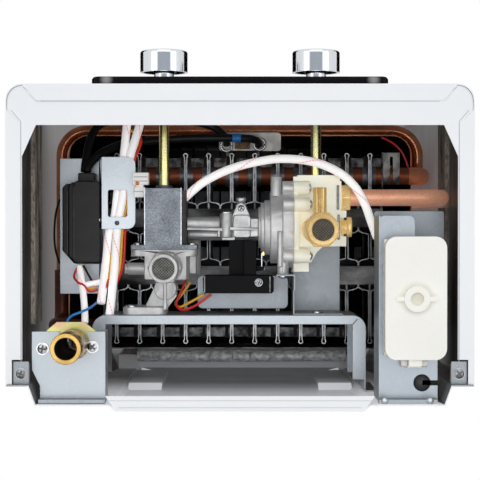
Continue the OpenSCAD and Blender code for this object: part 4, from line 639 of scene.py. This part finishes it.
def insideCover(centre, normal):
    if abs(centre.x) > coverInside["x"] or centre.y < coverInside["y"]:
        return False
    if not coverInside["bottom"] <= centre.z <= coverInside["top"]:
        return False
    return normal.x * centre.x < -0.05 or normal.y > 0.5 or normal.z < -0.9


def insideRight(centre, normal):
    return centre.x > 0.16 and insideCover(centre, normal)


def onFoot(centre, normal):
    slanted = -0.95 < normal.z < -0.2 and normal.y < 0
    return slanted and centre.z > 0.005 and 0.05 < abs(centre.x) < 0.1


def onTab(centre, normal):
    return abs(centre.x) > 0.146 and -0.037 < centre.y < -0.017 and normal.z < -0.5


def onCollar(centre, normal):
    return abs(centre.y - collarRow["y"]) < collarRow["reach"] and centre.z > collarRow["bottom"]


def inBore(centre, normal):
    away = math.hypot(centre.x - outletCentre[0], centre.y - outletCentre[1])
    return away < 0.0097 and centre.z > -0.02


def gripDistance(centre):
    return math.hypot(centre.x - gripCentre[0], centre.y - gripCentre[1])


def onGrip(centre, normal):
    away = gripDistance(centre)
    wing = abs(centre.y - gripCentre[1]) < gripFace["wingHalf"] and away < gripFace["wing"]
    return centre.z < gripFace["height"] and (away < gripFace["radius"] or wing)


# second finishes on chosen faces; most paint light or shade there, as their finish names say
finishFaces("front_cover", "innerWallLightShade", insideCover)
finishFaces("front_cover", "innerShade", insideRight)
finishFaces("side_pads", "fibreShade", lambda centre, normal: centre.x > 0)
finishFaces("battery_cover", "ivoryRing", onGrip)
finishFaces("battery_cover", "ivoryWell",
            lambda centre, normal: gripDistance(centre) < 0.0046 and normal.z < -0.5)
finishFaces("battery_bracket", "galvanisedShaded", lambda centre, normal: centre.z > 0.03)
finishFaces("flue_hood", "sootAndGapShade",
            lambda centre, normal: normal.x * centre.x < -0.001 or normal.y * (centre.y + 0.12) < -0.001)
finishFaces("back_plate", "backPlateLightShade", lambda centre, normal: normal.y < -0.3)
finishFaces("back_plate", "footHighlight", onFoot)
finishFaces("back_plate", "paintedShade", lambda centre, normal: abs(centre.x) > 0.128 and normal.y < -0.2)
finishFaces("back_plate", "galvanisedShaded", onTab)
finishFaces("battery_cells", "cellEnd", lambda centre, normal: normal.z < -0.9)
finishFaces("burner_bars", "collarSteel", onCollar)
finishFaces("cross_pipe", "copperElbowHighlight", lambda centre, normal: centre.x > 0.122)
finishFaces("cold_inlet", "brassLit", lambda centre, normal: normal.z > -0.9)
finishFaces("filter_screens", "gauzeDark", lambda centre, normal: centre.x > 0)
finishFaces("valve_bridge", "paintedShade",
            lambda centre, normal: centre.x < -0.09 and centre.z > 0.1 and normal.z < -0.5)
finishFaces("combustion_chamber", "sootAndGapShade",
            lambda centre, normal: normal.x * centre.x < -0.05 or normal.y * (centre.y + 0.11) < -0.02)
finishFaces("hot_outlet", "boreShade", inBore)
print("finishes set")

# broken edges in metres, so that each fold and casting catches a line of light
edgeBreaks = {
    0.0003: ["valve_bridge", "valve_support", "switch_plate", "igniter_bracket", "outlet_bracket",
             "battery_bracket", "solenoid_frame", "pipe_clip", "valve_clips", "electrode_bracket"],
    0.0006: ["gas_valve_body", "link_housing", "water_valve_cover", "water_valve_body", "solenoid_plug",
             "switch_box", "microswitch", "cold_inlet", "hot_outlet", "outlet_nut", "drain_plug",
             "solenoid_coil", "rear_bracket"],
    0.0009: ["igniter_box", "control_panel"],
}


def breakEdges(nodeName, width):
    node = cadNodes[nodeName]
    weld = node.modifiers.new("weldSeams", "WELD")
    weld.merge_threshold = 0.00002
    bevel = node.modifiers.new("brokenEdge", "BEVEL")
    bevel.width = width
    bevel.segments = 2
    bevel.limit_method = "ANGLE"
    bevel.angle_limit = math.radians(40)
    bevel.use_clamp_overlap = nodeName == "water_valve_body"
    bevel.harden_normals = True


for width, names in edgeBreaks.items():
    for nodeName in names:
        breakEdges(nodeName, width)
print("edges broken")


# held leads and sleeves, in millimetres, on the routes of the solids
def smoothRoute(points, steps):
    route = []
    for i in range(len(points) - 1):
        a = Vector(points[max(i - 1, 0)])
        b = Vector(points[i])
        c = Vector(points[i + 1])
        d = Vector(points[min(i + 2, len(points) - 1)])
        for k in range(steps):
            u = k / steps
            bend = (2 * a - 5 * b + 4 * c - d) * u * u
            twist = (3 * b - a - 3 * c + d) * u ** 3
            route.append(0.5 * (2 * b + (c - a) * u + bend + twist))
    route.append(Vector(points[-1]))
    return [point / 1000 for point in route]


def tubePiece(name, points, radius, finish, flatten=1.0, sides=16, steps=8):
    route = smoothRoute(points, steps)
    verts = []
    faces = []
    lengths = [0.0]
    for i in range(1, len(route)):
        lengths.append(lengths[-1] + (route[i] - route[i - 1]).length)
    for i, point in enumerate(route):
        along = (route[min(i + 1, len(route) - 1)] - route[max(i - 1, 0)]).normalized()
        across = along.cross(Vector((0.35, 0.1, 1))).normalized()
        out = along.cross(across)
        for k in range(sides):
            angle = 2 * math.pi * k / sides
            verts.append(point + radius * (math.cos(angle) * across + flatten * math.sin(angle) * out))
    for i in range(len(route) - 1):
        for k in range(sides):
            a = i * sides + k
            b = i * sides + (k + 1) % sides
            faces.append((a, a + sides, b + sides, b))
    faces.append(tuple(range(sides)))
    faces.append(tuple(len(verts) - 1 - k for k in range(sides)))
    mesh = bpy.data.meshes.new(name)
    mesh.from_pydata(verts, [], faces)
    mesh.shade_smooth()
    cover = mesh.uv_layers.new(name="along")
    for face in mesh.polygons:
        places = [vertex % sides for vertex in face.vertices]
        wraps = len(places) == 4 and sides - 1 in places and 0 in places
        for loopIndex in face.loop_indices:
            vertex = mesh.loops[loopIndex].vertex_index
            turn = (vertex % sides) / sides
            if wraps and vertex % sides == 0:
                turn = 1.0
            cover.data[loopIndex].uv = (lengths[vertex // sides], turn)
    mesh.materials.append(finishes[finish])
    tube = bpy.data.objects.new(name, mesh)
    bpy.context.collection.objects.link(tube)
    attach(tube, "casing")
    return tube


leads = {
    "radius": 3.2,
    "toRightElectrode": [
        (-119.4, -172.2, 115), (-118.5, -176, 116), (-115.4, -180.5, 119), (-110, -186.5, 125),
        (-103.6, -190.6, 134), (-98, -193.8, 144), (-84.8, -197, 155), (-76.5, -198, 160),
        (-59.3, -200, 166), (-32.7, -201.4, 171), (0, -201.5, 174), (12, -200.5, 179), (15.9, -197, 187)],
    "toLeftElectrode": [
        (-122, -172.2, 122.5), (-121.6, -178, 124), (-120.6, -186.5, 127), (-119.4, -195, 132),
        (-117.5, -203, 139), (-112, -211, 148), (-100, -215.5, 158), (-80, -217.5, 168), (-50, -217, 177),
        (-24, -212, 183), (-12.6, -203, 180.5), (-10.9, -197.4, 186.4)],
}
for leadName in ("toRightElectrode", "toLeftElectrode"):
    lead = tubePiece("lead_" + leadName, leads[leadName], leads["radius"] / 1000, "leadBlack")
    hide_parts("ignition_leads")

sleeves = {
    "radius": 3.2,
    "tailShare": 0.8,
    "archToBattery": [
        (-44.5, -149, 93), (-36.5, -156.4, 91), (-28, -163, 88), (-15, -170, 86), (-1.5, -175, 85),
        (13, -178.5, 85), (28, -180.7, 85), (45, -180.2, 85), (61, -177, 85), (76.5, -169.5, 84),
        (87.5, -159, 82), (94.5, -146, 79), (98.6, -134, 76), (103, -121, 72)],
    "panelLeft": [
        (-86, -222, 112), (-88, -208, 112), (-90.5, -184, 112), (-95, -158, 112), (-97.5, -138, 112),
        (-101.5, -126, 110), (-103.5, -101, 102), (-106, -71, 88)],
    "panelRight": [
        (-76, -222, 104.5), (-77.5, -208, 104.5), (-84, -187, 104.4), (-87.5, -170, 104.4),
        (-91, -150, 104.4), (-95, -128, 104.4), (-96.5, -98, 98), (-99.3, -68, 94), (-100.2, -60, 92.5)],
    "igniterTail": [
        (-124.4, -97.8, 108), (-122.2, -88, 100), (-119.6, -75, 91), (-118, -64, 84), (-117.5, -56.6, 80)],
}
for sleeveName in ("archToBattery", "panelLeft", "panelRight", "igniterTail"):
    share = sleeves["tailShare"] if sleeveName == "igniterTail" else 1.0
    radius = share * sleeves["radius"] / 1000
    sleeve = tubePiece("sleeve_" + sleeveName, sleeves[sleeveName], radius, "sleeve")
    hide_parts("harness_sleeves")

wireRadius = 0.001
wireRoutes = {
    "wire_amber": ("wireAmber", [
        (-85, -204, 110), (-81.4, -201, 112), (-78.8, -195.6, 110), (-80.4, -190, 108), (-83, -184, 106.5),
        (-85, -170, 105), (-86.6, -150, 104.4), (-90.6, -128, 104.4), (-92.1, -100, 99.5),
        (-96.5, -86, 104)]),
    "wire_red": ("wireRed", [
        (-80, -203, 112), (-77.4, -198.4, 110), (-76.6, -194.6, 109), (-78.2, -189, 107.5),
        (-80.8, -183, 106), (-82.8, -170, 105), (-84.4, -150, 104.4), (-88.4, -128, 104.4),
        (-89.9, -100, 99.5), (-96, -84, 104)]),
    "loop_red": ("wireRed", [
        (-42, -88, 104), (-45, -80, 100), (-49, -70, 96), (-44, -65.5, 92), (-35, -68.5, 88), (-27, -74, 86),
        (-22, -77.6, 86)]),
    "loop_amber": ("wireAmber", [
        (-38.5, -86, 106), (-44, -78, 104), (-49.6, -70.5, 101), (-46, -67.5, 96), (-37, -72, 92),
        (-27, -77.6, 89)]),
    "wire_blue": ("wireBlue", [
        (-109.6, -71, 88), (-114, -67.6, 75), (-120, -65, 70), (-126, -62.5, 69), (-129.5, -58.5, 68),
        (-128.8, -53, 67), (-126.8, -49.4, 66)]),
}
for wireName, (finish, points) in wireRoutes.items():
    wire = tubePiece(wireName, points, wireRadius, finish, sides=10, steps=6)
    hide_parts("harness_wires")
print("leads, sleeves and wires laid")


# small visible details that the solids leave out, all in millimetres
def addPiece(name, verts, faces, finish):
    mesh = bpy.data.meshes.new(name)
    mesh.from_pydata([Vector(vert) / 1000 for vert in verts], [], faces)
    mesh.materials.append(finishes[finish])
    piece = bpy.data.objects.new(name, mesh)
    bpy.context.collection.objects.link(piece)
    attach(piece, "casing")
    return piece


def boxParts(low, high, start):
    verts = [(x, y, z) for z in (low[2], high[2]) for y in (low[1], high[1]) for x in (low[0], high[0])]
    quads = ((0, 2, 3, 1), (4, 5, 7, 6), (0, 1, 5, 4), (2, 6, 7, 3), (0, 4, 6, 2), (1, 3, 7, 5))
    return verts, [tuple(start + corner for corner in quad) for quad in quads]


def boxPiece(name, boxes, finish):
    verts = []
    faces = []
    for low, high in boxes:
        moreVerts, moreFaces = boxParts(low, high, len(verts))
        verts += moreVerts
        faces += moreFaces
    return addPiece(name, verts, faces, finish)


def crossPiece(name, x, y, apex, radius, turn):
    # painted shade of the cross recess of a screw head, laid on its dome
    sphere = 1.3 * radius
    half = 0.16 * radius
    verts = []
    faces = []
    for arm in range(4):
        angle = turn + arm * math.pi / 2
        start = len(verts)
        for step in (0.0, 0.3, 0.58):
            away = step * radius
            sag = away * away / (2 * sphere) - 0.04
            for side in (-half, half):
                verts.append((x + away * math.cos(angle) - side * math.sin(angle),
                              y + away * math.sin(angle) + side * math.cos(angle), apex + sag))
        faces += [(start, start + 1, start + 3, start + 2), (start + 2, start + 3, start + 5, start + 4)]
    return addPiece(name, verts, faces, "recessShade")


def stripPiece(name, routes, width, z, finish):
    # flat lines of painted shade along seams, creases and mitres on a sheet that faces down
    verts = []
    faces = []
    for route in routes:
        for first, last in zip(route, route[1:]):
            along = (Vector(last) - Vector(first)).normalized()
            side = Vector((-along.y, along.x)) * width / 2
            start = len(verts)
            for end, way in ((first, -1), (first, 1), (last, 1), (last, -1)):
                corner = Vector(end) + way * side
                verts.append((corner.x, corner.y, z))
            faces.append((start, start + 1, start + 2, start + 3))
    return addPiece(name, verts, faces, finish)


screwCrosses = {
    "casingLeft": (-154.6, -25.8, 0.8, 4.2, 0.3), "casingRight": (154.6, -25.8, 0.8, 4.2, 0.9),
    "outletLeft": (-140.2, -42.8, 7.8, 4.4, 0.2), "outletRight": (-104.8, -44.2, 7.8, 4.4, 0.7),
    "ear": (0.9, -143.2, 86.8, 3.0, 0.5), "switchBox": (14.2, -87.0, 77.8, 2.9, 0.4),
}
for screwName, values in screwCrosses.items():
    crossPiece("cross_" + screwName, *values)

# painted shadow in the seam gaps of the cover's folded flange
seams = {"width": 0.45, "x": 154.1, "y": -217.8, "corner": 139.8}
stripPiece("seamFront", [
    [(-152.4, -227.6), (-seams["corner"], seams["y"]), (seams["corner"], seams["y"]), (152.4, -227.6)]],
    seams["width"], 0.9, "gapShadow")
stripPiece("seamSides", [
    [(side * 161, -211.5), (side * seams["x"], -203.5), (side * seams["x"], -34)] for side in (-1, 1)],
    seams["width"], 0.9, "gapShadow")

# slots of the plug as painted shadow
plug = {"x": -72.8, "slots": (-167.6, -164.4, -156.4)}
plugUpper = [((plug["x"] - 8.2, y, 89.8), (plug["x"] + 2.2, y + 0.7, 90.4)) for y in plug["slots"][:2]]
plugLower = [((plug["x"] - 8.6, y, 87.7), (plug["x"] - 1.2, y + 0.7, 88.4)) for y in plug["slots"][2:]]
boxPiece("plugSlots", plugLower + plugUpper, "gapShadow")
grooves = {
    "grooveAmber": ("wireAmber", [(-98, -124, 104), (-99.7, -101, 98), (-100.8, -89, 94.2)]),
    "grooveRed": ("wireRed", [(-100.8, -89, 94.2), (-102.6, -83, 92.2), (-104.4, -77, 90.4)]),
}
for grooveName, (finish, points) in grooves.items():
    tubePiece(grooveName, points, 0.0008, finish, sides=10, steps=6)
tubePiece("plugDot", [(-78.3, -162.2, 88.9), (-78.3, -162.2, 90.2)], 0.0015, "dotOrange", sides=14, steps=1)
tubePiece("leadBand", [(-6.5, -201.6, 173.3), (-3, -201.6, 173.7), (0.5, -201.5, 174.1)], 0.0036, "wireBlue",
          steps=3)
thinWires = {
    "sideCable": ("leadBlack", [
        (-151.8, -152, 206), (-155.2, -140, 207), (-156.6, -124, 208), (-155.6, -110, 207),
        (-152, -98, 206)]),
    "coilWire": ("wireRed", [
        (119, -203.8, 205), (124, -201.6, 205.5), (130, -198, 206), (136.4, -191, 206), (140.4, -182, 206),
        (142.2, -174, 206)]),
    "igniterRed": ("wireRed", [
        (-126.4, -97, 107), (-127.8, -90.8, 100), (-124.6, -86.6, 95.6), (-119.6, -84.2, 94.4),
        (-115.6, -79.6, 95), (-109, -80.8, 97)]),
    "igniterAmber": ("wireAmber", [
        (-122.6, -98.6, 107), (-120.4, -88, 103), (-117, -81.6, 100), (-111, -82.6, 100)]),
    "igniterBlack": ("leadBlack", [(-121.4, -99, 108), (-116.8, -91, 105), (-113, -85, 103)]),
}
for wireName, (finish, points) in thinWires.items():
    tubePiece(wireName, points, 0.0009, finish, sides=10, steps=5)
tubePiece("igniterStub", [(-118.6, -84.6, 97.5), (-113, -85.6, 98), (-106.4, -86.8, 99.5)], 0.0022, "sleeve",
          steps=4)
ring = {"radius": 4.6, "z": 185, "turns": [2 * math.pi * k / 16 for k in range(17)]}
for ringName, x, y in (("electrodeRingLeft", -11.2, -196.0), ("electrodeRingRight", 16.2, -197.0)):
    points = [(x + ring["radius"] * math.cos(turn), y + ring["radius"] * math.sin(turn), ring["z"])
              for turn in ring["turns"]]
    tubePiece(ringName, points, 0.0011, "screwSteel", sides=10, steps=2)
boxPiece("electrodeMica", [((-4.2, -199.6, 194.2), (8.6, -193.4, 194.8))], "mica")
boxPiece("boxEndLines", [
    ((-27.2, -91.6, 79.7), (-26.4, -79.6, 80.2)), ((22.4, -91.6, 79.7), (23, -79.6, 80.2))], "clipSteel")
tubePiece("boxSideScrew", [(-109.4, -134.6, 104.6), (-107.6, -134.6, 104.6)], 0.0024, "screwSteel",
          sides=14, steps=1)
# painted highlights along the solenoid frame's edges
boxPiece("solenoidEdgeHighlights", [
    ((-72.6, -158.8, 81.8), (-72.0, -115.6, 82.3)), ((-45.0, -158.8, 81.8), (-44.4, -115.6, 82.3))],
    "screwSteel")
# painted highlights along the igniter box ridges
boxPiece("boxRidgeHighlights", [
    ((-134.0, -157, 105.3), (-133.3, -108, 105.8)), ((-128.6, -160, 102.3), (-127.9, -104, 102.8))],
    "coilGreyPaintedHighlightShade")
bars = {"first": -102.18, "pitch": 19.06, "count": 12, "fillHalf": 0.7}
barPlaces = [bars["first"] + bars["pitch"] * i for i in range(bars["count"])]
boxPiece("barFill", [
    ((x - bars["fillHalf"], low, 186.6), (x + bars["fillHalf"], high, 187.4))
    for x in barPlaces for low, high in ((-184, -142), (-82, -38))], "collarSteel")
tubePiece("outletPin", [(-122.2, -48, 24), (-122.2, -45, 24), (-122.2, -42, 24)], 0.0009, "ceramic",
          sides=10, steps=2)
# dark disc behind the ear's hole: painted shade
tubePiece("wingHoleShade", [(-94.8, -132, 101.4), (-94.8, -132, 101.1)], 0.0019, "recessShade", sides=18, steps=1)
tubePiece("keyholeShade", [(129.2, -18.3, 14.5), (129.2, -18.3, 13.5)], 0.0068, "coilGreyPaintedHighlightShade", sides=28,
          steps=1)
boxPiece("keySlotShade", [((130, -20, 13.5), (141, -16.6, 14.5))], "boreShade")
# dark strips between the comb teeth: painted shade
combTeeth = ((1.4, 4.4, -187.8, -177.4), (14.6, 17.6, -187.8, -177.4), (13.5, 16.3, -47.8, -36.2))
boxPiece("combGaps", [
    ((x + low, near, 195.3), (x + high, far, 195.9))
    for x in barPlaces[:-1] for low, high, near, far in combTeeth], "sootAndGapShade")
# bracket folds in a shaded zinc copy, with a painted shade line under the left fold
boxPiece("bracketFolds", [((-142.0, -7.8, -1), (-95.2, -4.85, 10)), ((98.0, -7.8, -1), (138.9, -4.85, 10))],
         "zincFoldShade")
boxPiece("foldShadeLine", [((-142.0, -5.3, -1.2), (-95.2, -4.85, -1))], "coilGreyPaintedHighlightShade")
for spotName, x in (("bracketSpotLeft", 101.8), ("bracketSpotRight", 133.8)):
    tubePiece(spotName, [(x, -7.0, -0.8), (x, -7.0, -1.6)], 0.0024, "screwSteel", sides=18, steps=1)
# painted shade along the lip creases and the bridge mitre
stripPiece("lipCrease", [[(-92, -7.6), (92, -7.6)], [(-85, -2.7), (85, -2.7)]], 0.5, -5.15, "lipCreaseShade")
stripPiece("bridgeMitre", [[(85.0, -55.6), (88.6, -59.6)]], 0.8, 74.8, "recessShade")
print("small details set")


# light and camera
def areaLamp(name, place, target, width, height, power, mirrored=True, spread=math.pi):
    light = bpy.data.lights.new(name, "AREA")
    light.shape = "RECTANGLE"
    light.size = width
    light.size_y = height
    light.energy = power
    light.spread = spread
    lamp = bpy.data.objects.new(name, light)
    lamp.location = place
    lamp.rotation_euler = (Vector(target) - Vector(place)).to_track_quat("-Z", "Y").to_euler()
    lamp.visible_camera = False
    lamp.visible_glossy = mirrored
    bpy.context.collection.objects.link(lamp)


aim = (0, -0.12, 0.1)
areaLamp("lowSoftbox", (0.0, -0.25, -1.28), aim, 1.5, 1.3, 9)
areaLamp("deepFill", (0.0, -0.16, -1.2), aim, 0.5, 0.4, 2.4, mirrored=False)
areaLamp("frontSoftbox", (0.0, -1.3, -0.7), aim, 1.2, 0.8, 2.5)
areaLamp("leftSoftbox", (-0.9, -0.4, -0.8), aim, 0.7, 0.7, 1.2)
areaLamp("rightSoftbox", (0.9, -0.4, -0.8), aim, 0.7, 0.7, 1.2)

# narrow lamps on the outside of the cover, each with its place, target, size and share of the power
outside = {"spread": math.radians(50), "power": 0.75}
outsideLamps = {
    "coverFront": ((0.0, -1.8, 0.32), (0, -0.2, 0.3), 0.9, 1.0),
    "coverBack": ((0.0, 1.8, 0.32), (0, 0, 0.3), 0.9, 1.0),
    "coverLeft": ((-1.8, -0.12, 0.32), (0, -0.12, 0.3), 0.9, 0.7),
    "coverRight": ((1.8, -0.12, 0.32), (0, -0.12, 0.3), 0.9, 0.7),
    "coverTop": ((0.0, -0.12, 2.2), (0, -0.12, 0.5), 0.8, 1.2),
}
for lampName, (place, target, size, share) in outsideLamps.items():
    areaLamp(lampName, place, target, size, size, share * outside["power"], mirrored=False,
             spread=outside["spread"])

studio = {"light": 0.22, "seen": 1.0}


def seenByEye(tree):
    # camera, mirror and glass rays see the backdrop, other rays take its light
    path = addNode(tree, "ShaderNodeLightPath")
    first = addNode(tree, "ShaderNodeMath", operation="MAXIMUM")
    second = addNode(tree, "ShaderNodeMath", operation="MAXIMUM")
    join(tree, path, "Is Camera Ray", first, 0)
    join(tree, path, "Is Glossy Ray", first, 1)
    join(tree, first, 0, second, 0)
    join(tree, path, "Is Transmission Ray", second, 1)
    return second.outputs[0]


world = bpy.data.worlds.new("studio")
bpy.context.scene.world = world
world.use_nodes = True
background = world.node_tree.nodes["Background"]
background.inputs["Color"].default_value = (1.0, 1.0, 1.0, 1.0)
level = addNode(world.node_tree, "ShaderNodeMapRange",
                {"To Min": studio["light"], "To Max": studio["seen"]})
world.node_tree.links.new(seenByEye(world.node_tree), level.inputs["Value"])
join(world.node_tree, level, "Result", background, "Strength")


def flatMesh(name, width, height, finish):
    mesh = bpy.data.meshes.new(name)
    x = width / 2
    y = height / 2
    mesh.from_pydata([(-x, -y, 0), (x, -y, 0), (x, y, 0), (-x, y, 0)], [], [(0, 1, 2, 3)])
    mesh.materials.append(finishes[finish])
    return mesh


backdrop = {"width": 12.0, "z": -1.35}
floorTree, floorShader = newFinish("floorPale")
floorCloud = placeGroup(floorTree, blotchGroup, Base=(0.84, 0.84, 0.84, 1), Tint=(0.82, 0.82, 0.82, 1),
                        Scale=2.0, Grain=0.01)
join(floorTree, floorCloud, "Color", floorShader, "Base Color")
join(floorTree, floorCloud, "Color", floorShader, "Emission Color")
floorShader.inputs["Roughness"].default_value = 0.7
floorTree.links.new(seenByEye(floorTree), floorShader.inputs["Emission Strength"])
floor = bpy.data.objects.new("floor", flatMesh("floor", backdrop["width"], backdrop["width"], "floorPale"))
floor.location = (0, 0, backdrop["z"])
bpy.context.collection.objects.link(floor)


def darkCard(name, place, turn, width, height, finish):
    # a flag that only mirror rays see, so that bright metal keeps dark edges
    card = bpy.data.objects.new(name, flatMesh(name, width, height, finish))
    card.location = place
    card.rotation_euler = turn
    card.visible_camera = False
    card.visible_diffuse = False
    card.visible_shadow = False
    card.visible_transmission = False
    bpy.context.collection.objects.link(card)
    return card


cards = [
    darkCard("leftFlag", (-1.5, -0.3, 2.02), (0, math.pi / 2, 0), 2.56, 3.0, "flagBlack"),
    darkCard("rightFlag", (1.5, -0.3, 2.02), (0, math.pi / 2, 0), 2.56, 3.0, "flagBlack"),
    darkCard("lensFlag", (0.0, -0.42, -1.2), (0, 0, 0), 1.9, 0.36, "flagGrey"),
]

cameraSetup = {"place": (0.0, -0.1328, -1.040), "tilt": math.pi - 0.012165, "lens": 110.97, "sensor": 36.0}
cameraData = bpy.data.cameras.new("viewFromBelow")
cameraData.lens = cameraSetup["lens"]
cameraData.sensor_width = cameraSetup["sensor"]
cameraData.clip_start = 0.05
camera = bpy.data.objects.new("viewFromBelow", cameraData)
camera.location = cameraSetup["place"]
camera.rotation_euler = (cameraSetup["tilt"], 0, 0)
bpy.context.collection.objects.link(camera)
bpy.context.scene.camera = camera
print("camera and light set")
